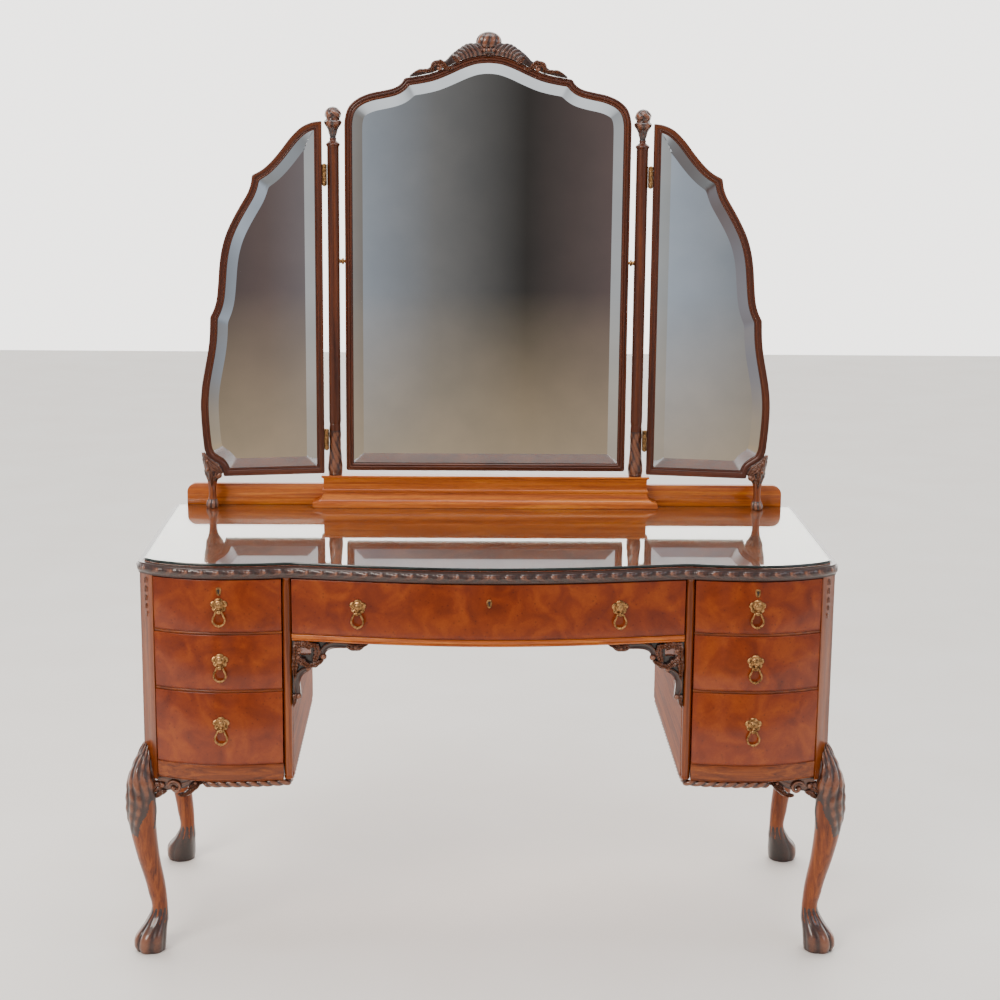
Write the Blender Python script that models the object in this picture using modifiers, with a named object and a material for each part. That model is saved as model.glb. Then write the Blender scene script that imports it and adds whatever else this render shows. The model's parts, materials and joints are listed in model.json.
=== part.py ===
"""Twin-pedestal dressing table with a three-fold mirror, in metres, +Z up, front towards -Y.

The plan is drawn in the table's own depth v, measured back from the glass top's front corners.
An empty carries everything, and shifts v so that the origin is under the middle of the piece.
"""
import math

import bmesh
import bpy
from mathutils import Matrix, Vector

# ---------------------------------------------------------------- driving dimensions
WIDTH = 1.374             # over the carved edge
BACK = 0.530              # rear of the table top, from the glass's front corners
TABLE_HEIGHT = 0.811      # floor to the upper face of the glass
GAP = 0.0003              # between pieces that touch
RUNNING = 0.0005          # round a drawer front in its opening

GLASS_THICK = 0.006
GLASS_INSET = 0.017       # the carved edge stands this far outside the glass
BOARD_THICK = 0.022       # table top board
EDGE_DEPTH = 0.0147       # carved edge, front to back
CARCASS_SET = 0.009       # carcass behind the outer line of the carved edge
VALLEY = 0.036            # the front line over the inner columns
PEDESTAL_BOW = 0.050      # the front line at the middle of a pedestal
CENTRE_BOW = 0.080        # the front line at the middle of the table
CANT = 0.022              # width of the canted corner, seen from the front
CANT_DEPTH = 0.018

KNEEHOLE_HALF = 0.3818    # centre line to the face of a pedestal
SIDE_THICK = 0.016
COLUMN_R = 0.0093
STILE = 0.028             # width of the corner stiles
STILE_BACK = 0.045        # rear of a front stile
DRAWER_HEIGHTS = (0.1465, 0.110, 0.1035)   # bottom, middle, top
DIVIDER = 0.005
PLINTH = 0.034
ROPE = 0.014
CENTRE_HEIGHT = 0.109     # front of the centre drawer
TOP_GAP = 0.0025          # over the top drawers
RAIL = 0.0145             # rail and dust board under the centre drawer
BACK_PANEL = 0.010
CARCASS_BACK = 0.507
DRAWER_WALL = 0.010
DRAWER_FRONT = 0.020
DRAWER_BOTTOM = 0.008
SIDE_DROP = 0.012         # drawer sides below the top of the front

LEG_IN = 0.0223           # ankle line inside the carcass's outer face
LEG_V = 0.0173            # ankle line behind the glass's front corner
REAR_LEG_V = 0.4657
REAR_LEG_OUT = 0.004      # rear ankles outside the front ones
STILE_LEAD = 0.006        # front of a rear stile before its ankle line
EAR_DROP = 0.058          # how far the ears reach down the leg
ANKLE_R = 0.0155
KNEE_R = 0.030
PAW_R = 0.034

PULL_W = 0.034
PULL_H = 0.029
PULL_THICK = 0.003
PULL_HOLE_DROP = 0.0125   # ring's pin below the middle of its plate
PULL_HOLE_OUT = 0.0066    # ring's pin in front of the drawer
PIN_R = 0.0016
PIN_ROOM = 0.0004         # round the pin in its eye
EYE_R = 0.0040
EYE_W = 0.007
RING_WIRE = 0.0020
RING_R = 0.0118
CENTRE_PULL_X = 0.252
PULL_DROPS = (0.062, 0.0505, 0.049)   # top of a drawer's front to the middle of its pull: bottom, middle, top

POST_V = 0.497            # posts and centre mirror stand on this line
POST_R = 0.0128
POST_TOP = 0.857          # this and the other heights of the mirrors are above the glass top
BASE_TOP = 0.069
BASE_HALF = 0.376
BASE_FRONT = 0.474
BASE_STEP = 0.0235        # the moulded base draws in this far at its ends,
BASE_STEP_FRONT = 0.011   # and this far at its front
GALLERY_THICK = 0.018
GALLERY_TOP = 0.046
GALLERY_IN = 0.035        # gallery's end inside the table's end
GLASS_BACK = 0.508

MIRROR_THICK = 0.020
FRAME_W = 0.016
REBATE = 0.005
PLATE_THICK = 0.006
LIP = 0.005
PIVOT_Z = 0.533
PIVOT_GAP = 0.0112        # frame to post
PIVOT_R = 0.0035
COLLAR = (0.003, 0.007)   # the pivot's collar, out from the frame
COLLAR_R = 0.0068
BORE_R = 0.0038
BORE_DEEP = 0.007

WING_THICK = 0.018
HINGE_OUT = 0.0052        # hinge pin outside the post's face
HINGE_V = 0.4835
HINGE_R = 0.0035
HINGE_TALL = 0.044
HINGE_ZS = (0.149, 0.715)
STILE_GAP = 0.0045        # hinge pin to the wing's edge
WING_REST = 5.0           # degrees that the wings stand forward

MIRROR_HALF = 0.303
MIRROR_FOOT = 0.080
# Right half of the centre mirror's arch, shoulder to crown: share of its half width, height.
# None marks a corner.
ARCH = [(1, 0.801), (0.9974, 0.829), (0.9719, 0.855), (0.9109, 0.873), (0.8251, 0.8845),
        (0.7327, 0.8905), (0.6535, 0.8965), (0.6056, 0.9055), (0.5809, 0.917), None, (0.495, 0.9205),
        (0.3894, 0.9275), (0.2904, 0.9395), (0.1914, 0.953), (0.0957, 0.9625), (0.0, 0.9655)]
# The upper edge of the carved crest, in the same way, and how far it reaches along the arch.
CREST = [(0.528, 0.9265), (0.482, 0.935), (0.419, 0.937), (0.366, 0.952), (0.300, 0.953), (0.261, 0.965),
         (0.205, 0.978), (0.1485, 0.988), (0.109, 0.989), (0.0, 0.989)]
CREST_SPAN = 0.546
WING_WIDTH = 0.264
# A wing's outline, crown to foot: share of its width from the hinge edge, height.
WING = [(0.0, 0.827), (0.0833, 0.8235), (0.1667, 0.813), (0.25, 0.792), (0.3333, 0.764),
        (0.4091, 0.741), (0.4811, 0.7245), (0.5587, 0.7135), None, (0.5701, 0.695), (0.5985, 0.675),
        (0.6553, 0.65), (0.7197, 0.62), (0.7727, 0.59), (0.8087, 0.558), (0.8295, 0.524),
        (0.8409, 0.489), (0.8561, 0.453), (0.8807, 0.4305), (0.911, 0.4145), None, (0.9186, 0.3725),
        (0.9356, 0.339), (0.9621, 0.303), (0.9848, 0.271), (0.9981, 0.239), (1, 0.209), (0.9924, 0.169),
        (0.9792, 0.129), None, (0.947, 0.11), (0.8939, 0.1), (0.8447, 0.09), (0.8239, 0.0695), None,
        (0.0, 0.0735), None]

SCROLL_R = 0.0090         # little scroll between a wing's corner and its foot
SCROLL_IN = 0.0350
SCROLL_Z = 0.0730

# ---------------------------------------------------------------- what follows from them
HALF = WIDTH / 2
GLASS_HALF = HALF - GLASS_INSET
CARCASS_OUT = GLASS_INSET - CARCASS_SET            # carcass line outside the glass line
CARCASS_HALF = HALF - CARCASS_SET
CANT_X = GLASS_HALF - CANT
COLUMN_X = KNEEHOLE_HALF + COLUMN_R
PEDESTAL_MID = (COLUMN_X + CANT_X) / 2
GLASS_FOOT = TABLE_HEIGHT - GLASS_THICK
BOARD_FOOT = GLASS_FOOT - BOARD_THICK
CARCASS_TOP = BOARD_FOOT - GAP
DRAWER_IN = COLUMN_X + COLUMN_R + RUNNING          # inner end of a pedestal drawer's front
STILE_IN = CARCASS_HALF - STILE
DRAWER_OUT = STILE_IN - RUNNING
RACK_IN = KNEEHOLE_HALF + SIDE_THICK + GAP
RACK_OUT = CARCASS_HALF - SIDE_THICK - GAP
STACK_TOP = CARCASS_TOP - TOP_GAP
REAR_STILE = REAR_LEG_V - STILE_LEAD
EDGE_FRONT = -CENTRE_BOW - GLASS_INSET
POST_X = MIRROR_HALF + PIVOT_GAP + POST_R
HINGE_X = POST_X + POST_R + HINGE_OUT
SHIFT = -(BACK + EDGE_FRONT) / 2

TABLE = bpy.data.collections.new("dressing_table")
CUTTERS = bpy.data.collections.new("cutters")


def clear_scene():
    for obj in list(bpy.data.objects):
        bpy.data.objects.remove(obj)
    bpy.context.scene.collection.children.link(TABLE)
    bpy.context.scene.collection.children.link(CUTTERS)


def finish_of(name, colour, roughness, metallic=0.0):
    """A Principled material with a plain colour."""
    mat = bpy.data.materials.new(name)
    mat.use_nodes = True
    shader = mat.node_tree.nodes["Principled BSDF"]
    shader.inputs["Base Color"].default_value = (*colour, 1.0)
    shader.inputs["Roughness"].default_value = roughness
    shader.inputs["Metallic"].default_value = metallic
    return mat


def place(obj, colour, parent, roughness=0.35, metallic=0.0, location=None):
    """Gives a piece its material and parent, and puts it in the table's collection."""
    for old in obj.users_collection:
        old.objects.unlink(obj)
    TABLE.objects.link(obj)
    obj.data.materials.clear()
    obj.data.materials.append(finish_of(obj.name, colour, roughness, metallic))
    obj.parent = parent
    if location is not None:
        obj.location = location
    return obj


def guide(obj):
    """Puts a cutter or a joined shape out of sight in the cutters' collection."""
    for old in obj.users_collection:
        old.objects.unlink(obj)
    CUTTERS.objects.link(obj)
    obj.hide_render = True
    obj.display_type = "WIRE"
    return obj


def axis_empty(name, location, parent, turn=0.0):
    """An empty on a joint's axis, turned about Z."""
    empty = bpy.data.objects.new(name, None)
    empty.location = location
    empty.rotation_euler = (0.0, 0.0, turn)
    empty.parent = parent
    TABLE.objects.link(empty)
    return empty


# ---------------------------------------------------------------- shapes
def new_object(name, mesh):
    obj = bpy.data.objects.new(name, mesh)
    bpy.context.scene.collection.objects.link(obj)
    return obj


def box(name, low, high):
    """A box between two corners, from a unit cube."""
    mesh = bpy.data.meshes.new(name)
    bm = bmesh.new()
    bmesh.ops.create_cube(bm, size=1.0)
    size = Vector(high) - Vector(low)
    bmesh.ops.scale(bm, vec=size, verts=bm.verts)
    bmesh.ops.translate(bm, vec=(Vector(high) + Vector(low)) / 2, verts=bm.verts)
    bm.to_mesh(mesh)
    bm.free()
    return new_object(name, mesh)


def rod(name, start, end, radius, sides=12):
    """A cylinder between two points."""
    mesh = bpy.data.meshes.new(name)
    bm = bmesh.new()
    start = Vector(start)
    along = Vector(end) - start
    bmesh.ops.create_cone(bm, cap_ends=True, segments=sides, radius1=radius, radius2=radius,
                          depth=along.length)
    turn = along.to_track_quat("Z", "Y").to_matrix().to_4x4()
    bmesh.ops.transform(bm, matrix=Matrix.Translation(start + along / 2) @ turn, verts=bm.verts)
    bm.to_mesh(mesh)
    bm.free()
    return new_object(name, mesh)


def slab(name, loops, low, high, upright=False):
    """A flat outline, with any inner loops as holes, given thickness by extruding a filled 2D curve.

    Lying, it spans z low to high. Upright, the outline is x and height, and it spans v low to high.
    """
    curve = bpy.data.curves.new(name, "CURVE")
    curve.dimensions = "2D"
    curve.fill_mode = "BOTH"
    curve.extrude = (high - low) / 2
    for loop in loops:
        spline = curve.splines.new("POLY")
        spline.points.add(len(loop) - 1)
        for point, (a, b) in zip(spline.points, loop):
            point.co = (a, b, 0.0, 1.0)
        spline.use_cyclic_u = True
    sketch = new_object(name + "_outline", curve)
    bpy.context.view_layer.update()
    depsgraph = bpy.context.evaluated_depsgraph_get()
    mesh = bpy.data.meshes.new_from_object(sketch.evaluated_get(depsgraph))
    mesh.name = name
    move = Matrix.Translation((0, 0, (low + high) / 2))
    if upright:
        move = Matrix.Translation((0, (low + high) / 2, 0)) @ Matrix.Rotation(math.pi / 2, 4, "X")
    bm = bmesh.new()
    bm.from_mesh(mesh)
    bmesh.ops.remove_doubles(bm, verts=bm.verts, dist=1e-6)
    bmesh.ops.transform(bm, matrix=move, verts=bm.verts)
    bmesh.ops.recalc_face_normals(bm, faces=bm.faces)
    bm.to_mesh(mesh)
    bm.free()
    bpy.data.objects.remove(sketch)
    return new_object(name, mesh)


def loft(name, sections):
    """A closed solid through rings of equally many points, lowest first."""
    bm = bmesh.new()
    rings = [[bm.verts.new(point) for point in section] for section in sections]
    for low, high in zip(rings, rings[1:]):
        for i in range(len(low)):
            j = (i + 1) % len(low)
            bm.faces.new((low[i], low[j], high[j], high[i]))
    bm.faces.new(list(reversed(rings[0])))
    bm.faces.new(rings[-1])
    bmesh.ops.recalc_face_normals(bm, faces=bm.faces)
    mesh = bpy.data.meshes.new(name)
    bm.to_mesh(mesh)
    bm.free()
    return new_object(name, mesh)


def ring_points(x, v, z, rx, rv, sides=12):
    """An ellipse of points at one height."""
    turns = [2 * math.pi * i / sides for i in range(sides)]
    return [(x + rx * math.cos(t), v + rv * math.sin(t), z) for t in turns]


def turned(name, profile, centre, steps=12):
    """A turned piece from a profile of radius and height, top to bottom, about a vertical line."""
    mesh = bpy.data.meshes.new(name)
    verts = [(r, 0.0, z) for r, z in profile]
    mesh.from_pydata(verts, [(i, i + 1) for i in range(len(verts) - 1)], [])
    obj = new_object(name, mesh)
    obj.location = centre
    screw = obj.modifiers.new("turn", "SCREW")
    screw.steps = steps
    screw.render_steps = steps
    screw.use_merge_vertices = True
    screw.merge_threshold = 0.00005
    screw.use_smooth_shade = True
    return obj


def join(obj, other):
    """Boolean union with a shape that is then kept as a guide."""
    step = obj.modifiers.new("join_" + other.name, "BOOLEAN")
    step.operation = "UNION"
    step.solver = "EXACT"
    step.object = guide(other)
    return obj


def cut(obj, other):
    """Boolean cut."""
    step = obj.modifiers.new("cut_" + other.name, "BOOLEAN")
    step.operation = "DIFFERENCE"
    step.solver = "EXACT"
    step.object = guide(other)
    return obj


def settle(obj):
    """Applies the Booleans of a piece, and removes the shapes they used."""
    used = [step.object for step in obj.modifiers]
    bpy.context.view_layer.update()
    depsgraph = bpy.context.evaluated_depsgraph_get()
    mesh = bpy.data.meshes.new_from_object(obj.evaluated_get(depsgraph))
    mesh.name = obj.name
    obj.modifiers.clear()
    obj.data = mesh
    bm = bmesh.new()
    bm.from_mesh(mesh)
    bmesh.ops.remove_doubles(bm, verts=bm.verts, dist=2e-6)
    bmesh.ops.dissolve_limit(bm, angle_limit=math.radians(0.05), verts=bm.verts, edges=bm.edges)
    bmesh.ops.triangulate(bm, faces=bm.faces)
    bm.to_mesh(mesh)
    bm.free()
    for shape in used:
        bpy.data.objects.remove(shape)
    return obj


# ---------------------------------------------------------------- outlines
def front_line(x, out=0.0):
    """The serpentine front of the table top: v at x, moved out from the glass's line."""
    a = abs(x)
    if a < COLUMN_X:
        v = -VALLEY - (CENTRE_BOW - VALLEY) * (1 - (a / COLUMN_X) ** 2) ** 1.3
    elif a < PEDESTAL_MID:
        t = (PEDESTAL_MID - a) / (PEDESTAL_MID - COLUMN_X)
        v = -PEDESTAL_BOW + (PEDESTAL_BOW - VALLEY) * t * t
    else:
        t = (a - PEDESTAL_MID) / (CANT_X - PEDESTAL_MID)
        v = -PEDESTAL_BOW + (PEDESTAL_BOW - CANT_DEPTH) * t * t
    return v - out


def front_slope(x):
    """How steeply the front runs at x, as an angle about Z."""
    step = 0.001
    return math.atan2(front_line(x + step) - front_line(x - step), 2 * step)


def spread(start, end, count):
    return [start + (end - start) * i / (count - 1) for i in range(count)]


def half_front(out, count=14):
    """Points of the front from the middle to the right-hand side, with the canted corner."""
    shoulder = 0.414 * out
    xs = spread(0.0, COLUMN_X, count // 2) + spread(COLUMN_X, CANT_X, count // 2 + 1)[1:]
    points = [(x, front_line(x, out)) for x in xs[:-1]]
    points.append((CANT_X + shoulder, front_line(CANT_X, out)))
    points.append((GLASS_HALF + out, -shoulder))
    return points


def plan(out, back, count=14):
    """The whole front with both sides back to a straight rear edge."""
    right = half_front(out, count) + [(GLASS_HALF + out, back)]
    left = [(-x, v) for x, v in reversed(right[:-1])]
    return [(-GLASS_HALF - out, back)] + left[:-1] + right


def through(points, fine=2):
    """A smooth line through points, with corners at the None marks (Catmull-Rom between them)."""
    runs = [[]]
    for point in points:
        if point is None:
            runs.append([runs[-1][-1]])
        else:
            runs[-1].append(point)
    line = []
    for run in runs:
        if len(run) < 2:
            continue
        for i in range(len(run) - 1):
            p1, p2 = Vector(run[i]), Vector(run[i + 1])
            p0 = Vector(run[i - 1]) if i else 2 * p1 - p2
            p3 = Vector(run[i + 2]) if i + 2 < len(run) else 2 * p2 - p1
            for k in range(fine if len(run) > 2 else 1):
                t = k / fine
                line.append(tuple(0.5 * (2 * p1 + (p2 - p0) * t + (2 * p0 - 5 * p1 + 4 * p2 - p3) * t * t
                                         + (3 * p1 - p0 - 3 * p2 + p3) * t ** 3)))
        if run is runs[-1] or len(runs[runs.index(run) + 1]) < 2:
            line.append(run[-1])
    return line


def inset(loop, depth):
    """A closed outline moved inwards, with mitred corners; points that crowd a corner are dropped."""
    count = len(loop)
    points = [Vector(p) for p in loop]
    following = points[1:] + points[:1]
    area = sum(a.x * b.y - b.x * a.y for a, b in zip(points, following))
    side = 1.0 if area > 0 else -1.0
    moved = []
    for i, point in enumerate(points):
        before = (point - points[i - 1]).normalized()
        after = (points[(i + 1) % count] - point).normalized()
        normal = Vector((-(before.y + after.y), before.x + after.x)).normalized()
        flat = Vector((-before.y, before.x))
        moved.append(point + normal * (side * depth / max(normal.dot(flat), 0.4)))

    def clearance(p):
        best = 1.0
        for i in range(count):
            a, b = points[i], points[(i + 1) % count]
            t = max(0.0, min(1.0, (p - a).dot(b - a) / (b - a).length_squared))
            best = min(best, (a + (b - a) * t - p).length)
        return best

    return [tuple(p) for p in moved if clearance(p) > depth * 0.985]


def mirrored(half):
    """Closes a right-hand half outline, which ends on the centre line, with its mirror image."""
    return half + [(-x, z) for x, z in reversed(half) if abs(x) > 1e-6]


# ---------------------------------------------------------------- table top
WALNUT = (0.40, 0.12, 0.035)
BURR = (0.36, 0.085, 0.016)
DARK = (0.07, 0.022, 0.012)
LINING = (0.45, 0.24, 0.10)
BRASS = (0.62, 0.40, 0.22)
SILVER = (0.80, 0.81, 0.80)


def make_top(root):
    board = slab("top_board", [plan(GLASS_INSET - EDGE_DEPTH - GAP, BACK)], BOARD_FOOT, GLASS_FOOT - GAP)
    place(board, BURR, root)
    outer = plan(GLASS_INSET, BACK)
    inner = plan(GLASS_INSET - EDGE_DEPTH, BACK)
    edge = slab("carved_top_edge", [outer + list(reversed(inner))], BOARD_FOOT, GLASS_FOOT - GAP)
    place(edge, DARK, root)
    notch = BASE_HALF + GAP
    notch_front = BASE_FRONT - GAP
    outline = plan(0.0, GLASS_BACK)
    outline += [(notch, GLASS_BACK), (notch, notch_front), (-notch, notch_front), (-notch, GLASS_BACK)]
    place(slab("glass_top", [outline], GLASS_FOOT, TABLE_HEIGHT), (0.05, 0.07, 0.06), root, 0.05)


# ---------------------------------------------------------------- pedestals
def level(drawer):
    """Bottom of a drawer's front, counted from the lowest."""
    pitch = sum(DRAWER_HEIGHTS[drawer:]) + (DIVIDER + 2 * RUNNING) * (2 - drawer)
    return STACK_TOP - pitch


PLINTH_TOP = level(0) - RUNNING
PLINTH_FOOT = PLINTH_TOP - PLINTH
PEDESTAL_FOOT = PLINTH_FOOT - ROPE


def front_strip(x_low, x_high, out, count=9):
    return [(x, front_line(x, out)) for x in spread(x_low, x_high, count)]


def make_leg(name, root, side, rear):
    """Cabriole leg on a diagonal, with its ears, its paw, and the corner stile in one piece."""
    ankle_x = CARCASS_HALF - LEG_IN + (REAR_LEG_OUT if rear else 0.0)
    ankle_v = REAR_LEG_V if rear else LEG_V
    facing = 1.0 if rear else -1.0
    knee = PLINTH_FOOT / 0.371
    #        height, outward, radius
    leg = [(0.0, 0.029, PAW_R - 0.002), (0.012, 0.030, PAW_R), (0.036, 0.024, PAW_R - 0.004),
           (0.052, 0.013, 0.022), (0.070, 0.004, ANKLE_R), (0.120 * knee, 0.012, ANKLE_R + 0.003),
           (0.200 * knee, 0.030, 0.0225), (0.262 * knee, 0.040, 0.0265), (0.310 * knee, 0.043, KNEE_R),
           (PLINTH_FOOT - 0.016, 0.042, KNEE_R - 0.002),
           (PLINTH_FOOT - 0.0015, 0.040, KNEE_R - 0.004), (PLINTH_FOOT + 0.03, 0.033, 0.018),
           (PLINTH_FOOT + 0.062, 0.024, 0.008)]
    rings = []
    for z, outward, radius in leg:
        step = outward / math.sqrt(2)
        rings.append(ring_points(side * (ankle_x + step), ankle_v + facing * step, z, radius, radius))
    body = loft(name, rings)
    inner, outer = side * STILE_IN, side * CARCASS_HALF
    if rear:
        plan_points = [(inner, REAR_STILE), (outer, REAR_STILE), (outer, CARCASS_BACK), (inner, CARCASS_BACK)]
    else:
        shoulder = 0.414 * CARCASS_OUT
        plan_points = [(inner, front_line(STILE_IN, CARCASS_OUT)),
                       (side * (CANT_X + shoulder), front_line(CANT_X, CARCASS_OUT)),
                       (outer, -shoulder), (outer, STILE_BACK), (inner, STILE_BACK)]
    stile = slab("stile", [plan_points], PLINTH_FOOT - 0.012, CARCASS_TOP)
    join(body, stile)
    top = PLINTH_FOOT - GAP
    ear = [(STILE_IN + 0.004, top), (STILE_IN - 0.096, top), (STILE_IN - 0.088, top - 0.010),
           (STILE_IN - 0.046, top - 0.020), (STILE_IN - 0.034, top - 0.046),
           (STILE_IN + 0.004, top - EAR_DROP)]
    ear_low = CARCASS_BACK - 0.022 if rear else front_line(STILE_IN, CARCASS_OUT) - 0.004
    join(body, slab("front_ear", [[(side * x, z) for x, z in ear]], ear_low, ear_low + 0.021, upright=True))
    root_v = REAR_LEG_V if rear else STILE_BACK
    lean = -1.0 if rear else 1.0
    profile = [(root_v - lean * 0.012, top), (root_v + lean * 0.070, top),
               (root_v + lean * 0.062, top - 0.010), (root_v + lean * 0.026, top - 0.020),
               (root_v + lean * 0.012, top - 0.046),
               (root_v - lean * 0.012, top - EAR_DROP)]
    low_x, high_x = CARCASS_HALF - 0.018, CARCASS_HALF - 0.001
    side_ear = slab("side_ear", [profile], low_x, high_x)
    side_ear.data.transform(Matrix(((0, 0, side, 0), (1, 0, 0, 0), (0, 1, 0, 0), (0, 0, 0, 1))))
    if side < 0:
        side_ear.data.flip_normals()
    join(body, side_ear)
    settle(body)
    body.data.shade_smooth()
    place(body, WALNUT, root, 0.3)


def make_pedestal(name, root, side):
    def across(points):
        return [(side * x, v) for x, v in points]

    low, high = sorted((side * KNEEHOLE_HALF, side * (KNEEHOLE_HALF + SIDE_THICK)))
    column_v = front_line(COLUMN_X, CARCASS_OUT) + COLUMN_R
    side_front = column_v + COLUMN_R + GAP
    inner_side = box(name + "_inner_side", (low, side_front, PLINTH_FOOT - 0.001),
                     (high, CARCASS_BACK, CARCASS_TOP))
    bead = box("bead", (low + 0.001, side_front, PEDESTAL_FOOT), (high - 0.001, CARCASS_BACK, PLINTH_FOOT))
    join(inner_side, bead)
    place(settle(inner_side), WALNUT, root)
    low, high = sorted((side * (CARCASS_HALF - SIDE_THICK), side * CARCASS_HALF))
    outer_side = box(name + "_outer_side", (low, STILE_BACK + GAP, PLINTH_FOOT),
                     (high, REAR_STILE - GAP, CARCASS_TOP))
    place(outer_side, WALNUT, root)
    column = rod(name + "_column", (0, 0, PEDESTAL_FOOT), (0, 0, CARCASS_TOP), COLUMN_R, 14)
    column.data.shade_smooth()
    place(column, WALNUT, root, location=(side * COLUMN_X, column_v, 0))

    board_in = COLUMN_X + COLUMN_R + GAP
    stile_in = STILE_IN - GAP
    rear_stile = REAR_STILE - GAP
    front = front_strip(board_in, stile_in, CARCASS_OUT - 0.001)
    board = front + [(stile_in, STILE_BACK + GAP), (RACK_OUT, STILE_BACK + GAP), (RACK_OUT, rear_stile),
                     (stile_in, rear_stile), (stile_in, CARCASS_BACK), (RACK_IN, CARCASS_BACK),
                     (RACK_IN, side_front), (board_in, side_front)]
    rack = slab(name + "_drawer_rack", [across(board)], PLINTH_FOOT, PLINTH_TOP)
    for i in (1, 2):
        shelf = level(i) - RUNNING
        join(rack, slab("shelf_%d" % i, [across(board)], shelf - DIVIDER, shelf))
    low, high = sorted((side * RACK_IN, side * stile_in))
    panel = box("rack_back", (low, CARCASS_BACK - BACK_PANEL, PLINTH_FOOT + 0.002),
                (high, CARCASS_BACK, CARCASS_TOP))
    join(rack, panel)
    rope_end = STILE_IN - 0.098
    rope = front_strip(board_in, rope_end, CARCASS_OUT, 6)
    rope += [(x, v + ROPE) for x, v in reversed(rope)]
    join(rack, slab("rope", [across(rope)], PEDESTAL_FOOT, PLINTH_FOOT + 0.002))
    place(settle(rack), WALNUT, root)


def make_drawer(name, root, x_low, x_high, z_low, z_high):
    """Bow-fronted drawer: front, sides, back and bottom in one piece, open at the top."""
    back = CARCASS_BACK - BACK_PANEL - 0.010
    shoulder = max(front_line(x_low, CARCASS_OUT), front_line(x_high, CARCASS_OUT)) + DRAWER_FRONT
    count = 17 if x_low < 0 < x_high else 10
    set_in = 0.003
    outline = front_strip(x_low, x_high, CARCASS_OUT, count)
    outline += [(x_high, shoulder), (x_high - set_in, shoulder), (x_high - set_in, back),
                (x_low + set_in, back), (x_low + set_in, shoulder), (x_low, shoulder)]
    drawer = slab(name, [outline], z_low, z_high)
    wall = set_in + DRAWER_WALL
    hollow = front_strip(x_low + wall, x_high - wall, CARCASS_OUT - DRAWER_FRONT, count)
    hollow += [(x_high - wall, back - DRAWER_WALL), (x_low + wall, back - DRAWER_WALL)]
    cut(drawer, slab("hollow", [hollow], z_low + DRAWER_BOTTOM, z_high + 0.01))
    cut(drawer, box("drop", (x_low - 0.01, shoulder, z_high - SIDE_DROP),
                    (x_high + 0.01, back + 0.01, z_high + 0.01)))
    settle(drawer)
    centre = axis_empty(name + "_slide", (0, 0, 0), root)
    place(drawer, BURR, centre, 0.25)
    return centre


# ---------------------------------------------------------------- pulls
def pull_plate_mesh():
    """Lobed flower plate with a domed boss and an eye for the ring's pin. Its back is at y = 0."""
    petals = 5
    outline = []
    for i in range(30):
        turn = 2 * math.pi * i / 30
        swell = 1 + 0.10 * math.cos(petals * (turn - math.pi / 2))
        outline.append((PULL_W / 2.2 * swell * math.cos(turn), PULL_H / 2.2 * swell * math.sin(turn)))
    plate = slab("pull_plate", [outline], -PULL_THICK, 0.0, upright=True)
    dome = [ring_points(0, 0, 0.0, 0.0085, 0.0085, 10), ring_points(0, 0, 0.0055, 0.0072, 0.0072, 10),
            ring_points(0, 0, 0.0078, 0.0040, 0.0040, 10)]
    boss = loft("boss", dome)
    seat = Matrix.Translation((0, -PULL_THICK + 0.0012, 0.001))
    boss.data.transform(seat @ Matrix.Rotation(math.pi / 2, 4, "X"))
    join(plate, boss)
    eye_z = -PULL_HOLE_DROP
    half = EYE_W / 2
    join(plate, rod("eye", (-half, -PULL_HOLE_OUT, eye_z), (half, -PULL_HOLE_OUT, eye_z), EYE_R, 12))
    hole_r = PIN_R + PIN_ROOM
    cut(plate, rod("pin_hole", (-EYE_W, -PULL_HOLE_OUT, eye_z), (EYE_W, -PULL_HOLE_OUT, eye_z), hole_r, 10))
    settle(plate)
    mesh = plate.data
    bpy.data.objects.remove(plate)
    return mesh


def ring_mesh():
    """Pear-shaped drop ring. Its straight pin lies on the X axis."""
    half = EYE_W / 2 + 0.0022
    drop = 0.0028 + RING_R
    path = [(half, 0.0)]
    for i in range(9):
        turn = math.radians(34 - i * (248 / 8))
        path.append((RING_R * math.cos(turn), -drop - 0.0012 + RING_R * math.sin(turn)))
    path.append((-half, 0.0))
    curve = bpy.data.curves.new("pull_ring", "CURVE")
    curve.dimensions = "3D"
    curve.bevel_depth = RING_WIRE
    curve.bevel_resolution = 1
    curve.use_fill_caps = True
    spline = curve.splines.new("POLY")
    spline.points.add(len(path) - 1)
    for point, (x, z) in zip(spline.points, path):
        point.co = (x, 0.0, z, 1.0)
    sketch = new_object("ring_path", curve)
    bpy.context.view_layer.update()
    depsgraph = bpy.context.evaluated_depsgraph_get()
    mesh = bpy.data.meshes.new_from_object(sketch.evaluated_get(depsgraph))
    bpy.data.objects.remove(sketch)
    bm = bmesh.new()
    bm.from_mesh(mesh)
    bmesh.ops.remove_doubles(bm, verts=bm.verts, dist=1e-6)
    bmesh.ops.recalc_face_normals(bm, faces=bm.faces)
    bm.to_mesh(mesh)
    bm.free()
    ring = new_object("pull_ring", mesh)
    join(ring, rod("pin", (-half, 0, 0), (half, 0, 0), PIN_R, 8))
    settle(ring)
    ring.data.shade_smooth()
    mesh = ring.data
    bpy.data.objects.remove(ring)
    return mesh


def fit_pull(name, drawer, x, z):
    """A plate on the drawer's face and a ring on its own axis."""
    seat = axis_empty(name + "_seat", (x, front_line(x, CARCASS_OUT) - GAP, z), drawer, front_slope(x))
    plate = new_object(name + "_plate", PLATE_MESH.copy())
    place(plate, BRASS, seat, 0.35, 1.0)
    pin = axis_empty(name + "_pin", (0, -PULL_HOLE_OUT, -PULL_HOLE_DROP), seat)
    hoop = new_object(name + "_ring", HOOP_MESH.copy())
    place(hoop, BRASS, pin, 0.35, 1.0)


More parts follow.
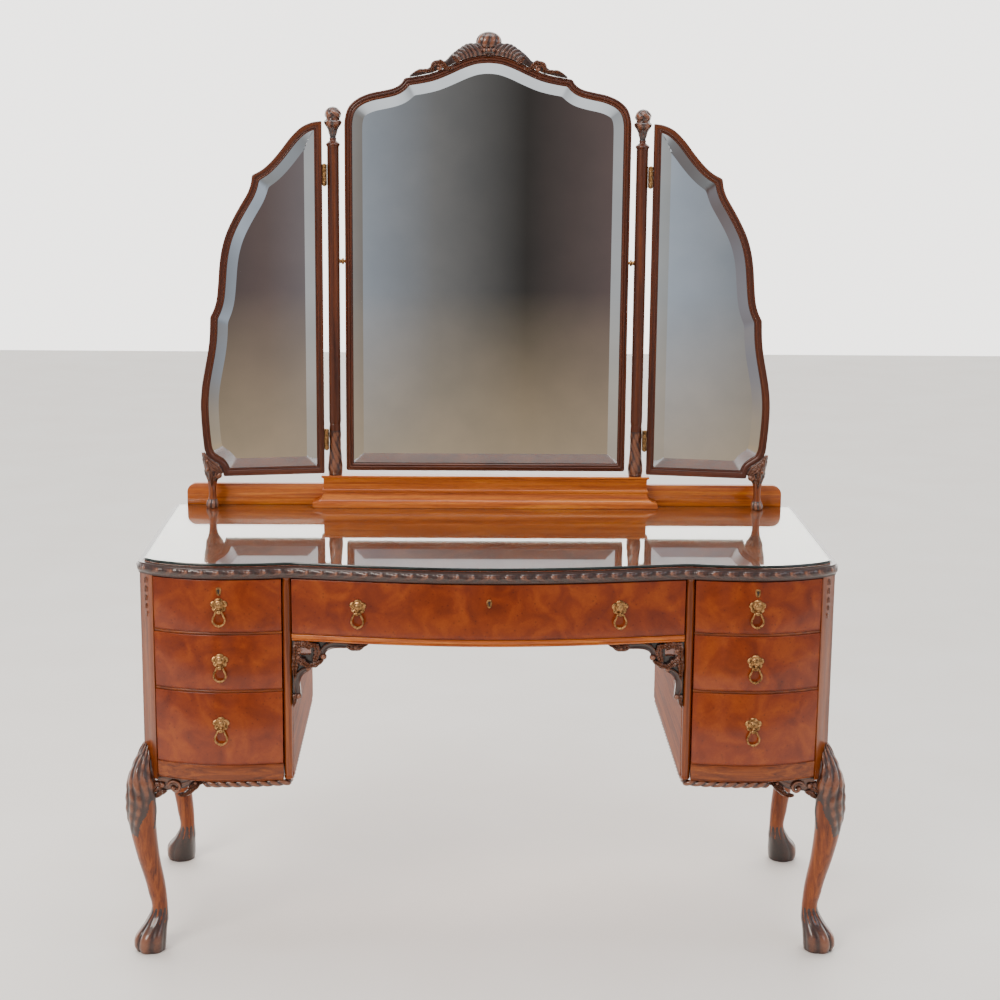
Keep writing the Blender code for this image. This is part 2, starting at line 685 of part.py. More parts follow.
# ---------------------------------------------------------------- kneehole
def make_kneehole(root):
    half = KNEEHOLE_HALF - GAP
    foot = CENTRE_FOOT - RUNNING - RAIL
    side_front = front_line(COLUMN_X, CARCASS_OUT) + 2 * COLUMN_R
    outline = front_strip(-half, half, CARCASS_OUT - 0.001, 17)
    outline += [(half, CARCASS_BACK), (-half, CARCASS_BACK)]
    rail = slab("centre_rail", [outline], foot, foot + RAIL)
    back = box("kneehole_back", (-half, CARCASS_BACK - BACK_PANEL, foot + 0.002),
               (half, CARCASS_BACK, CARCASS_TOP))
    place(settle(join(rail, back)), WALNUT, root)
    for name, side in (("left", -1), ("right", 1)):
        top = foot - GAP
        edge = half - 0.0005
        leaf = [(edge, top), (edge, top - 0.133), (edge - 0.015, top - 0.118), (edge - 0.019, top - 0.103),
                (edge - 0.013, top - 0.092), (edge - 0.030, top - 0.072), (edge - 0.042, top - 0.052),
                (edge - 0.070, top - 0.042), (edge - 0.086, top - 0.024), (edge - 0.115, top - 0.029),
                (edge - 0.134, top - 0.024), (edge - 0.150, top - 0.008), (edge - 0.152, top)]
        pierce = [(edge - 0.014, top - 0.014), (edge - 0.014, top - 0.030), (edge - 0.030, top - 0.030),
                  (edge - 0.036, top - 0.014)]
        loops = [[(side * x, z) for x, z in loop] for loop in (leaf, pierce)]
        bracket = slab(name + "_bracket", loops, side_front - 0.016, side_front + 0.002, upright=True)
        place(bracket, DARK, root, 0.3)


# ---------------------------------------------------------------- mirror stand
def make_stand(root):
    top = TABLE_HEIGHT + BASE_TOP
    #           height, drawn in at the ends, drawn in at the front
    steps = [(GLASS_FOOT, 0.0, 0.0), (GLASS_FOOT + 0.018, 0.0, 0.0), (GLASS_FOOT + 0.024, 0.2, 0.3),
             (GLASS_FOOT + 0.036, 0.45, 0.55), (GLASS_FOOT + 0.048, 0.9, 1.0), (top - 0.013, 1.0, 1.0),
             (top - 0.009, 0.8, 0.8), (top, 0.8, 0.8)]
    base_back = BACK - 0.0025 - GALLERY_THICK - GAP
    sections = []
    for z, ends, front in steps:
        half = BASE_HALF - BASE_STEP * ends
        v = BASE_FRONT + BASE_STEP_FRONT * front
        sections.append([(-half, v, z), (half, v, z), (half, base_back, z), (-half, base_back, z)])
    place(loft("mirror_base", sections), WALNUT, root)
    half = HALF - GALLERY_IN
    curl = 0.020
    crown = TABLE_HEIGHT + GALLERY_TOP
    end = [(half - curl + curl * math.sin(t), crown - curl + curl * math.cos(t))
           for t in spread(0, math.pi / 2, 6)]
    outline = [(-half, GLASS_FOOT)] + [(-x, z) for x, z in reversed(end)] + end + [(half, GLASS_FOOT)]
    board = slab("gallery_board", [outline], base_back + GAP, base_back + GAP + GALLERY_THICK, upright=True)
    place(board, WALNUT, root)
    foot = top + GAP
    tip = TABLE_HEIGHT + POST_TOP
    profile = [(0.0, tip), (0.011, tip - 0.004), (0.0182, tip - 0.018), (0.0182, tip - 0.038),
               (0.011, tip - 0.056), (0.0075, tip - 0.064), (0.0155, tip - 0.074), (0.0155, tip - 0.092),
               (POST_R, tip - 0.098), (POST_R, foot + 0.046), (0.0155, foot + 0.036), (0.0165, foot + 0.012),
               (0.0140, foot), (0.0, foot)]
    for name, side in (("left", -1), ("right", 1)):
        place(turned(name + "_post", profile, (0, 0, 0)), WALNUT, root, location=(side * POST_X, POST_V, 0))
        for word, height in zip(("lower", "upper"), HINGE_ZS):
            z = TABLE_HEIGHT + height
            leaf_x = POST_X + POST_R + 0.0004
            low, high = sorted((side * leaf_x, side * (leaf_x + 0.0018)))
            hinge = box("%s_%s_hinge" % (name, word), (low, HINGE_V + 0.001, z - HINGE_TALL / 2),
                        (high, HINGE_V + 0.016, z + HINGE_TALL / 2))
            hinge_x = side * HINGE_X
            join(hinge, rod("knuckle", (hinge_x, HINGE_V, z - HINGE_TALL / 2 - 0.002),
                            (hinge_x, HINGE_V, z + HINGE_TALL / 2 + 0.002), HINGE_R, 10))
            place(settle(hinge), BRASS, root, 0.35, 1.0)
        inner = MIRROR_HALF - BORE_DEEP + 0.0005
        outer = POST_X - POST_R - GAP
        pivot = rod(name + "_pivot", (side * inner, 0, 0), (side * outer, 0, 0), PIVOT_R, 12)
        collar = [(side * (MIRROR_HALF + reach), 0, 0) for reach in COLLAR]
        join(pivot, rod("collar", collar[0], collar[1], COLLAR_R, 12))
        place(settle(pivot), BRASS, root, 0.35, 1.0, location=(0, POST_V, TABLE_HEIGHT + PIVOT_Z))


def framed(name, outline, front, thick, parent):
    """Frame with its back board, rebated for a plate of mirror, and the plate itself."""
    frame = slab(name + "_frame", [outline], front, front + thick, upright=True)
    sight = inset(outline, FRAME_W)
    rebate = inset(outline, FRAME_W - REBATE)
    lip = front + LIP
    cut(frame, slab("sight", [sight], front - 0.01, lip + 0.001, upright=True))
    cut(frame, slab("rebate", [rebate], lip, lip + PLATE_THICK + 2 * GAP, upright=True))
    edge = inset(outline, FRAME_W - REBATE + 0.0005)
    plate = slab(name + "_glass", [edge], lip + GAP, lip + GAP + PLATE_THICK, upright=True)
    place(plate, SILVER, parent, 0.02, 1.0)
    return frame


def make_centre_mirror(root):
    tilt = axis_empty("centre_mirror_tilt", (0, POST_V, TABLE_HEIGHT + PIVOT_Z), root)
    front = -MIRROR_THICK / 2
    arch = through([point and (point[0] * MIRROR_HALF, point[1]) for point in ARCH])
    half = [(MIRROR_HALF, MIRROR_FOOT)] + arch
    outline = [(x, z - PIVOT_Z) for x, z in mirrored(half)]
    frame = framed("centre_mirror", outline, front, MIRROR_THICK, tilt)
    for side in (-1, 1):
        ends = (side * (MIRROR_HALF - BORE_DEEP), side * (MIRROR_HALF + 0.01))
        cut(frame, rod("bore", (ends[0], 0, 0), (ends[1], 0, 0), BORE_R, 12))
    place(settle(frame), WALNUT, tilt)
    under = [(x, z + GAP * 2) for x, z in arch if x < CREST_SPAN * MIRROR_HALF and z > ARCH[8][1] + 0.002]
    ridge = [(x * MIRROR_HALF, z - PIVOT_Z) for x, z in CREST]
    seat = [(x, z - PIVOT_Z) for x, z in under]
    half_crest = list(reversed(seat)) + ridge
    crest_loop = [(x, z) for x, z in half_crest if x > 1e-6]
    left = [(-x, z) for x, z in reversed(crest_loop)]
    loop = [seat[-1]] + crest_loop + [ridge[-1]] + left
    crest = slab("crest", [loop], -0.011, 0.007, upright=True)
    ball = ring_stack(0.0, -0.002, CREST[-1][1] + 0.0035 - PIVOT_Z, 0.0270, 0.019, 0.0205)
    join(crest, loft("ball", ball))
    place(settle(crest), DARK, tilt, 0.3)


def ring_stack(x, v, z, rx, rv, rz, count=7):
    """Rings of an ellipsoid, lowest first, without its very poles."""
    rings = []
    for i in range(count):
        lift = -1.30 + 2.60 * i / (count - 1)
        rings.append(ring_points(x, v, z + rz * math.sin(lift), rx * math.cos(lift), rv * math.cos(lift), 12))
    return rings


def make_wing(name, root, side):
    """Wing mirror on its hinge line, with the little paw foot under its outer corner."""
    rest = math.radians(-side * WING_REST)
    hinge = axis_empty(name + "_hinge_line", (side * HINGE_X, HINGE_V, 0), root, rest)
    front = POST_V - MIRROR_THICK / 2 - HINGE_V
    edge = through([point and (point[0] * WING_WIDTH, TABLE_HEIGHT + point[1]) for point in WING])
    outline = [(side * (STILE_GAP + x), z) for x, z in edge]
    frame = framed(name, outline, front, WING_THICK, hinge)
    place(settle(frame), WALNUT, hinge)
    mid = front + WING_THICK / 2
    foot = TABLE_HEIGHT + 0.0008
    #      height, in from the wing's widest line, radius across, radius front to back
    leg = [(0.0, 0.0215, 0.0110, 0.0110), (0.010, 0.0215, 0.0120, 0.0115), (0.021, 0.0215, 0.0085, 0.0080),
           (0.040, 0.0210, 0.0080, 0.0078), (0.058, 0.0215, 0.0105, 0.0085), (0.074, 0.0225, 0.0175, 0.0088),
           (0.086, 0.0195, 0.0155, 0.0088), (0.096, 0.0130, 0.0100, 0.0085), (0.104, 0.0090, 0.0078, 0.0078),
           (0.112, 0.0055, 0.0050, 0.0065), (0.121, 0.0025, 0.0030, 0.0050)]
    far = STILE_GAP + WING_WIDTH
    rings = [ring_points(side * (far - x), mid, foot + z, rx, rv, 10) for z, x, rx, rv in leg]
    piece = loft(name + "_foot", rings)
    scroll_x = side * (far - SCROLL_IN)
    scroll_z = TABLE_HEIGHT + SCROLL_Z
    scroll = rod("scroll", (scroll_x, mid - 0.010, scroll_z), (scroll_x, mid + 0.009, scroll_z), SCROLL_R, 12)
    join(piece, scroll)
    settle(piece)
    piece.data.shade_smooth()
    place(piece, DARK, hinge, 0.3)


# ---------------------------------------------------------------- the whole piece
CENTRE_FOOT = STACK_TOP - CENTRE_HEIGHT

clear_scene()
ROOT = bpy.data.objects.new("dressing_table_frame", None)
ROOT.location = (0, SHIFT, 0)
TABLE.objects.link(ROOT)

make_top(ROOT)
for side_name, sign in (("left", -1), ("right", 1)):
    make_leg("front_%s_leg" % side_name, ROOT, sign, False)
    make_leg("rear_%s_leg" % side_name, ROOT, sign, True)
    make_pedestal(side_name, ROOT, sign)
make_kneehole(ROOT)

PLATE_MESH = pull_plate_mesh()
HOOP_MESH = ring_mesh()
for side_name, sign in (("left", -1), ("right", 1)):
    for number, word in enumerate(("bottom", "middle", "top")):
        bottom = level(number)
        top_z = bottom + DRAWER_HEIGHTS[number]
        ends = sorted((sign * DRAWER_IN, sign * DRAWER_OUT))
        slide = make_drawer("%s_%s_drawer" % (side_name, word), ROOT, ends[0], ends[1], bottom, top_z)
        fit_pull("%s_%s_pull" % (side_name, word), slide, sign * PEDESTAL_MID, top_z - PULL_DROPS[number])
reach = KNEEHOLE_HALF - GAP - RUNNING
slide = make_drawer("centre_drawer", ROOT, -reach, reach, CENTRE_FOOT, STACK_TOP)
for side_name, sign in (("left", -1), ("right", 1)):
    fit_pull("centre_%s_pull" % side_name, slide, sign * CENTRE_PULL_X, STACK_TOP - PULL_DROPS[2])

make_stand(ROOT)
make_centre_mirror(ROOT)
make_wing("left_wing", ROOT, -1)
make_wing("right_wing", ROOT, 1)
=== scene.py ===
# %% [markdown]
# # A walnut dressing table with a three-fold mirror
# Every piece here is worked out with numpy as a surface on a grid, or as a profile carried along a
# line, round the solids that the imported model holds. The solids say where everything is; these
# pieces say how it looks: the carving, the mouldings, the veneer and the glass.

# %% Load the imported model
import json
import math

import bmesh
import bpy
import numpy as np
from mathutils import Matrix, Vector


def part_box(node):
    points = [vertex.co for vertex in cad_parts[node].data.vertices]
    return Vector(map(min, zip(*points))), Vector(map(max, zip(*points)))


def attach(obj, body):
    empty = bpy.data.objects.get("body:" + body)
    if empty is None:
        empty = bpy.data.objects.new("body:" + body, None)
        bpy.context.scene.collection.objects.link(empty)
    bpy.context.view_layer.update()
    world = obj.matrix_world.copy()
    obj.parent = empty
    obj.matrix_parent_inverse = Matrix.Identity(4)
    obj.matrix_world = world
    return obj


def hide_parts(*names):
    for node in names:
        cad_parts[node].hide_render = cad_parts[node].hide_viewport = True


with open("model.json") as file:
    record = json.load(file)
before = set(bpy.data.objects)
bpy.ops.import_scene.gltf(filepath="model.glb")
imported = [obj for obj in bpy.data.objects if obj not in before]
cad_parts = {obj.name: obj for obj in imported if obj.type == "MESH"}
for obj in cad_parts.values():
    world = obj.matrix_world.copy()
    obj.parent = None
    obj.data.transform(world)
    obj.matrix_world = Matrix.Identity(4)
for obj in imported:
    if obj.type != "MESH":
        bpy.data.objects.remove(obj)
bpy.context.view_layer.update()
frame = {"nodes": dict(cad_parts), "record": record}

# %% [markdown]
# ## Sizes that several pieces share
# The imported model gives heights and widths. The front of the top is a serpentine, hollow over the
# two inner columns and full over each pedestal and the middle, and most pieces follow it, so its few
# driving sizes stand here. The plan is measured back from the glass's front corners, and SHIFT moves
# that line to the model's own frame.

# %% Shared sizes
SHIFT = -0.2165                 # the glass's front corners, in the model's frame
GLASS_LOW, GLASS_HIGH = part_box("glass_top")
TABLE_HEIGHT = GLASS_HIGH.z
GLASS_HALF = GLASS_HIGH.x
EDGE_LOW, EDGE_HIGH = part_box("carved_top_edge")
EDGE_OUT = EDGE_HIGH.x - GLASS_HALF                         # carved edge outside the glass
CARCASS_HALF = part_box("right_outer_side")[1].x
CARCASS_OUT = CARCASS_HALF - GLASS_HALF
CARCASS_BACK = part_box("right_inner_side")[1].y
PEDESTAL_FOOT, CARCASS_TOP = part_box("right_column")[0].z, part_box("right_column")[1].z
COLUMN_X = (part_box("right_column")[0].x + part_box("right_column")[1].x) / 2
COLUMN_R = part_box("right_column")[1].x - COLUMN_X
KNEEHOLE_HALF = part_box("right_inner_side")[0].x
CANT_X = GLASS_HALF - 0.022     # where the front turns to the canted corner
PEDESTAL_MID = (COLUMN_X + CANT_X) / 2
VALLEY = 0.036                  # how far the front stands forward of its corners over a column,
PEDESTAL_BOW = 0.050            # at the middle of a pedestal,
CENTRE_BOW = 0.080              # at the middle of the table,
CANT_DEPTH = 0.018              # and where it meets the cant
STILE = 0.028                   # width of a corner stile
SIDE_THICK = 0.016
CORNER_SHARE = 0.414            # a step outwards moves a canted corner this share of it sideways
MM = 0.001

for label, size in (("table height", TABLE_HEIGHT), ("half carcass", CARCASS_HALF), ("column at", COLUMN_X)):
    print(label, round(size, 4))

# %% [markdown]
# ## The camera
# A long lens stands nearly four metres in front of the table and a little above the mirrors, looks
# down twelve degrees and leans by half a degree. Its place and turns are plain numbers, so that the
# table fills the square frame in the same way each time.

# %% Camera
CAMERA_AT = (-0.067, -4.0075, 1.714)
LOOK_DOWN, TURN, LEAN = math.radians(11.709), math.radians(-1.325), math.radians(0.525)
eye = bpy.data.cameras.new("camera")
eye.lens, eye.sensor_width = 72.0, 36.0
camera = bpy.data.objects.new("camera", eye)
bpy.context.scene.collection.objects.link(camera)
camera.matrix_world = (Matrix.Translation(CAMERA_AT) @ Matrix.Rotation(TURN, 4, "Z")
                       @ Matrix.Rotation(math.pi / 2 - LOOK_DOWN, 4, "X") @ Matrix.Rotation(LEAN, 4, "Z"))
bpy.context.scene.camera = camera
print("camera at", CAMERA_AT, "lens", eye.lens)

# %% [markdown]
# ## Meshes from arrays
# A surface is a grid of points: its rows run along a piece and its columns run round or across it.
# One function joins neighbours into quads, another gathers several surfaces into one mesh. A carved
# surface also carries "relief", from 0 in a hollow to 1 on a ridge, and a moulding carries "grain",
# its place along and across in metres, so that the finishes can follow the carving and the moulding.

# %% Grid surfaces
def grid(points, round_rows=False, round_cols=False, caps=False, relief=None, finish=0):
    """A surface through a grid of points: a round direction closes on itself, and caps close a tube's ends."""
    rows, cols = points.shape[:2]
    last_row, last_col = rows - (not round_rows), cols - (not round_cols)
    i, j = np.meshgrid(np.arange(last_row), np.arange(last_col), indexing="ij")
    after_i, after_j = (i + 1) % rows, (j + 1) % cols
    quads = np.stack([i * cols + j, after_i * cols + j, after_i * cols + after_j, i * cols + after_j], -1)
    ends = [np.arange(cols), (rows - 1) * cols + np.arange(cols)[::-1]] if caps else []
    steps = np.linalg.norm(np.diff(points, axis=0), axis=-1).mean(axis=1)
    across = np.linalg.norm(np.diff(points, axis=1), axis=-1).mean(axis=0)
    along = np.concatenate([[0], np.cumsum(steps)])[:, None] + np.zeros((1, cols))
    over = np.concatenate([[0], np.cumsum(across)])[None, :] + np.zeros((rows, 1))
    grain = np.stack([along, over, np.zeros_like(along)], -1)
    height = np.full((rows, cols), 0.5) if relief is None else np.broadcast_to(relief, (rows, cols))
    return {"points": points.reshape(-1, 3), "quads": quads.reshape(-1, 4), "ends": ends,
            "grain": grain.reshape(-1, 3), "relief": height.reshape(-1), "finish": finish}


def unit(vectors):
    """Vectors in the same directions, one long."""
    return vectors / np.linalg.norm(vectors, axis=-1, keepdims=True)


def run_of(points):
    """How far along a line each of its points lies."""
    return np.concatenate([[0], np.cumsum(np.linalg.norm(np.diff(points, axis=0), axis=1))])


def angles(steps, start=0.0):
    """A row of evenly spaced angles that go once round."""
    return np.linspace(start, start + 2 * np.pi, steps + 1)[:-1][None, :]


def moved(part, offset=(0, 0, 0), turn=None, side=1):
    """A copy of a surface, turned by a matrix, mirrored in x where side is -1, then shifted."""
    points = part["points"] if turn is None else part["points"] @ np.array(turn).T
    return {**part, "points": points * [side, 1, 1] + np.array(offset)}


def piece(name, body, parts, finishes, stands_for=(), crease=38):
    """One mesh from several surfaces: seams merged, faces outwards, shading smooth below the crease angle."""
    counts = np.cumsum([0] + [len(part["points"]) for part in parts])
    mesh = bpy.data.meshes.new(name)
    loops, sizes, painted = [], [], []
    for start, part in zip(counts, parts):
        loops.append(part["quads"].reshape(-1) + start)
        sizes.append(np.full(len(part["quads"]), 4))
        for end in part["ends"]:
            loops.append(end + start)
            sizes.append(np.array([len(end)]))
        painted.append(np.full(len(part["quads"]) + len(part["ends"]), part["finish"]))
    loops, sizes = np.concatenate(loops), np.concatenate(sizes)
    points = np.concatenate([part["points"] for part in parts])
    mesh.vertices.add(len(points))
    mesh.vertices.foreach_set("co", points.astype(np.float32).reshape(-1))
    mesh.loops.add(len(loops))
    mesh.loops.foreach_set("vertex_index", loops.astype(np.int32))
    mesh.polygons.add(len(sizes))
    mesh.polygons.foreach_set("loop_start", np.concatenate([[0], np.cumsum(sizes)[:-1]]).astype(np.int32))
    mesh.polygons.foreach_set("loop_total", sizes.astype(np.int32))
    mesh.update(calc_edges=True)
    grain = mesh.attributes.new("grain", "FLOAT_VECTOR", "POINT")
    grain_at = np.concatenate([part["grain"] for part in parts])
    grain.data.foreach_set("vector", grain_at.astype(np.float32).reshape(-1))
    relief = mesh.attributes.new("relief", "FLOAT", "POINT")
    heights = np.concatenate([part["relief"] for part in parts])
    relief.data.foreach_set("value", heights.astype(np.float32))
    mesh.polygons.foreach_set("material_index", np.concatenate(painted).astype(np.int32))
    bm = bmesh.new()
    bm.from_mesh(mesh)
    bmesh.ops.remove_doubles(bm, verts=bm.verts, dist=2e-6)
    bmesh.ops.recalc_face_normals(bm, faces=bm.faces)
    bm.to_mesh(mesh)
    bm.free()
    mesh.shade_smooth()
    mesh.set_sharp_from_angle(angle=math.radians(crease))
    for finish in finishes:
        mesh.materials.append(finish)
    obj = bpy.data.objects.new(name, mesh)
    bpy.context.scene.collection.objects.link(obj)
    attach(obj, body)
    if stands_for:
        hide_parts(*stands_for)
    print(name, "has", len(mesh.polygons), "faces")
    return obj


# %% [markdown]
# ## Small nodes
# One function adds a shader node, sets its plain values and joins its inputs, so that each finish
# below reads as a short recipe. Colours are written as they are seen, in sRGB, and turned to light.

# %% Colours and nodes
def seen(code, alpha=1.0):
    """A colour given as sRGB hex, as linear light."""
    parts = np.array([int(code[i:i + 2], 16) for i in (1, 3, 5)]) / 255
    linear = np.where(parts <= 0.04045, parts / 12.92, ((parts + 0.055) / 1.055) ** 2.4)
    return (*linear.tolist(), alpha)


def node(tree, kind, joins=None, values=None, stops=None, **settings):
    """Adds a node: settings are its own choices, values its sockets' numbers, joins what feeds its sockets.

    stops are a colour ramp's places and sRGB colours: the two ends, then any between.
    """
    new = tree.nodes.new(kind)
    for key, value in settings.items():
        setattr(new, key, value)
    for key, value in (values or {}).items():
        new.inputs[key].default_value = value
    for key, source in (joins or {}).items():
        socket = source if isinstance(source, bpy.types.NodeSocket) else source.outputs[0]
        tree.links.new(socket, new.inputs[key])
    for count, (place, code) in enumerate(stops or []):
        elements = new.color_ramp.elements
        element = elements[count] if count < 2 else elements.new(place)
        element.position, element.color = place, seen(code)
    return new


def finish(name, **values):
    """A new finish: its Principled shader takes the plain values given."""
    material = bpy.data.materials.new(name)
    material.use_nodes = True
    tree = material.node_tree
    shader = tree.nodes["Principled BSDF"]
    for key, value in values.items():
        shader.inputs[key.replace("_", " ")].default_value = value
    return material, tree, shader


def join(tree, shader, **sources):
    """Joins nodes to a shader's sockets, whose names are written with underscores."""
    for key, source in sources.items():
        tree.links.new(source.outputs[0], shader.inputs[key.replace("_", " ")])


def place_in(tree, source="Object", scale=(1, 1, 1), turn=(0, 0, 0)):
    """The piece's own coordinates, or its grain attribute, stretched and turned."""
    if source == "grain":
        where = node(tree, "ShaderNodeAttribute", attribute_name="grain").outputs["Vector"]
    else:
        where = node(tree, "ShaderNodeTexCoord").outputs["Object"]
    return node(tree, "ShaderNodeMapping", {"Vector": where}, {"Scale": scale, "Rotation": turn})


# %% [markdown]
# ## French-polished walnut
# The show wood is walnut under french polish: many thin coats of shellac, rubbed flat, over a warm
# red-brown stain. That gives a deep colour with a clear, slightly soft reflection, so every wood here
# has a smooth coat over a rougher wood. Straight walnut is drawn as long streaks, a few millimetres
# apart across the grain and decimetres along it; a moulding's streaks run with its grain attribute.

# %% Straight-grained walnut
def straight_walnut(name, source, long_axis, dark, middle, light, coat=0.32, rough=0.36):
    """Streaks of noise, forty times as long along the grain as across it, with open pores the same way."""
    material, tree, shader = finish(name, Roughness=rough, Coat_Weight=coat, Coat_Roughness=0.12,
                                    Specular_IOR_Level=0.3)
    streaks = [140.0] * 3
    streaks[long_axis] = 3.5
    pores = [1400.0] * 3
    pores[long_axis] = 55.0
    broad = node(tree, "ShaderNodeTexNoise", {"Vector": place_in(tree, source, streaks)},
                 {"Scale": 1.0, "Detail": 4.0, "Roughness": 0.6, "Distortion": 0.6})
    fine = node(tree, "ShaderNodeTexNoise", {"Vector": place_in(tree, source, pores)},
                {"Scale": 1.0, "Detail": 2.0})
    colour = node(tree, "ShaderNodeValToRGB", {"Fac": broad},
                  stops=[(0.30, dark), (0.72, light), (0.50, middle)])
    pore = node(tree, "ShaderNodeValToRGB", {"Fac": fine}, stops=[(0.32, "#8A8A8A"), (0.50, "#FFFFFF")])
    mixed = node(tree, "ShaderNodeMixRGB", {"Color1": colour, "Color2": pore}, {"Fac": 0.45},
                 blend_type="MULTIPLY")
    lift = node(tree, "ShaderNodeBump", {"Height": fine}, {"Strength": 0.05, "Distance": 0.0004})
    join(tree, shader, Base_Color=mixed, Normal=lift)
    return material


ALONG_X, ALONG_Y, ALONG_Z = 0, 1, 2
WALNUT_TONES = ("#522004", "#7A3608", "#964C12")
GOLDEN_TONES = ("#863A06", "#AE540C", "#C8721A")
MOULDING_TONES = ("#341304", "#4E2008", "#66300E")
POST_TONES = ("#341204", "#50220A", "#693211")
walnut_upright = straight_walnut("french_polished_walnut_upright", "Object", ALONG_Z, *WALNUT_TONES)
walnut_across = straight_walnut("french_polished_walnut_across", "Object", ALONG_X, *GOLDEN_TONES)
walnut_blade = straight_walnut("french_polished_dark_walnut_across", "Object", ALONG_X, *WALNUT_TONES)
walnut_deep = straight_walnut("satin_walnut_front_to_back", "Object", ALONG_Y, *WALNUT_TONES, coat=0.0,
                              rough=0.6)
walnut_moulding = straight_walnut("french_polished_walnut_moulding", "grain", ALONG_X, *MOULDING_TONES)
walnut_post = straight_walnut("french_polished_dark_walnut_post", "Object", ALONG_Z, *POST_TONES)
print("straight walnut in six finishes")


# %% [markdown]
# ## Burr veneer
# The drawer fronts and the top are faced with burr: a thin slice through a knotty growth, where the
# grain has no direction. It shows as clouds of lighter and darker brown 20 to 40 mm across, curls
# a few millimetres wide between them, and small dark eyes. Noise that is bent by other noise gives
# the clouds and curls, and the centres of Voronoi cells give the eyes.

# %% Burr walnut veneer
def burr_veneer(name, dark, middle, light, rough=0.30):
    """Clouds at 30 mm, curls at 5 mm bent by the clouds, and eyes about 12 mm apart."""
    material, tree, shader = finish(name, Roughness=rough, Coat_Weight=0.32, Coat_Roughness=0.10,
                                    Specular_IOR_Level=0.3)
    where = place_in(tree)
    clouds = node(tree, "ShaderNodeTexNoise", {"Vector": where},
                  {"Scale": 20.0, "Detail": 3.0, "Roughness": 0.5, "Distortion": 0.9})
    curls = node(tree, "ShaderNodeTexNoise", {"Vector": where},
                 {"Scale": 120.0, "Detail": 4.0, "Roughness": 0.65, "Distortion": 2.5})
    eyes = node(tree, "ShaderNodeTexVoronoi", {"Vector": where}, {"Scale": 85.0, "Randomness": 1.0})
    both = node(tree, "ShaderNodeMixRGB", {"Color1": clouds, "Color2": curls}, {"Fac": 0.26})
    colour = node(tree, "ShaderNodeValToRGB", {"Fac": both},
                  stops=[(0.28, dark), (0.72, light), (0.50, middle)])
    eye_dark = node(tree, "ShaderNodeValToRGB", {"Fac": eyes.outputs["Distance"]},
                    stops=[(0.06, "#7A6A60"), (0.20, "#FFFFFF")])
    mixed = node(tree, "ShaderNodeMixRGB", {"Color1": colour, "Color2": eye_dark}, {"Fac": 0.5},
                 blend_type="MULTIPLY")
    lift = node(tree, "ShaderNodeBump", {"Height": curls}, {"Strength": 0.04, "Distance": 0.0004})
    join(tree, shader, Base_Color=mixed, Normal=lift)
    return material


burr = burr_veneer("french_polished_burr_walnut_veneer", "#5A1A00", "#7A2C02", "#944206")
print("burr veneer")

# %% [markdown]
# ## Carved walnut
# The carving is stained almost black-brown and waxed. Its colour follows the relief that each carved
# surface carries: the ridges are lighter, partly worn by hands and polish and partly a painted highlight,
# and the hollows are darker, partly dust and stain and partly painted shade. It is glossy enough to catch
# a small bright light on every leaf.

# %% Carved walnut, brass and glass
def carved_walnut(name, hollow, middle, ridge):
    """Three browns by height, broken up by noise at 4 mm, under a wax gloss; the light ridges and dark hollows
    are partly wear and dust, partly painted highlight and painted shade.
    """
    material, tree, shader = finish(name, Roughness=0.34, Coat_Weight=0.5, Coat_Roughness=0.10)
    height = node(tree, "ShaderNodeAttribute", attribute_name="relief")
    blotch = node(tree, "ShaderNodeTexNoise", {"Vector": place_in(tree)},
                  {"Scale": 240.0, "Detail": 3.0, "Roughness": 0.6})
    sway = node(tree, "ShaderNodeMath", {0: blotch}, {1: 0.5}, operation="SUBTRACT")
    # colour by relief: darker in hollows and lighter on ridges, partly dust and wear, partly painted shade and
    # painted highlight
    wear_and_painted_shading = node(tree, "ShaderNodeMath", {0: sway, 2: height.outputs["Fac"]}, {1: 0.55},
                operation="MULTIPLY_ADD")
    colour = node(tree, "ShaderNodeValToRGB", {"Fac": wear_and_painted_shading},
                  stops=[(0.12, hollow), (0.92, ridge), (0.50, middle)])
    lift = node(tree, "ShaderNodeBump", {"Height": blotch}, {"Strength": 0.10, "Distance": 0.0006})
    join(tree, shader, Base_Color=colour, Normal=lift)
    return material


def antique_brass(name, dull, bright):
    """Cast brass, lacquered long ago: brown tarnish in patches about 6 mm across."""
    material, tree, shader = finish(name, Metallic=1.0, Roughness=0.34)
    patch = node(tree, "ShaderNodeTexNoise", {"Vector": place_in(tree)},
                 {"Scale": 160.0, "Detail": 5.0, "Roughness": 0.65})
    colour = node(tree, "ShaderNodeValToRGB", {"Fac": patch}, stops=[(0.36, dull), (0.62, bright)])
    rough = node(tree, "ShaderNodeMapRange", {"Value": patch}, {"To Min": 0.46, "To Max": 0.24})
    join(tree, shader, Base_Color=colour, Roughness=rough)
    return material


def plate_glass(name):
    """A clear plate: light passes straight to what lies under, and its face reflects at a low angle."""
    material, tree, shader = finish(name, Roughness=0.0, Transmission_Weight=1.0, IOR=1.60)
    shader.inputs["Base Color"].default_value = seen("#E6F0EA")
    smear = node(tree, "ShaderNodeTexNoise", {"Vector": place_in(tree)}, {"Scale": 14.0, "Detail": 3.0})
    rough = node(tree, "ShaderNodeMapRange", {"Value": smear}, {"To Min": 0.0, "To Max": 0.035})
    join(tree, shader, Roughness=rough)
    path = node(tree, "ShaderNodeLightPath")
    clear = node(tree, "ShaderNodeBsdfTransparent", values={"Color": seen("#E6F0EA")})
    both = node(tree, "ShaderNodeMixShader", {0: path.outputs["Is Shadow Ray"], 1: shader, 2: clear})
    join(tree, tree.nodes["Material Output"], Surface=both)
    return material


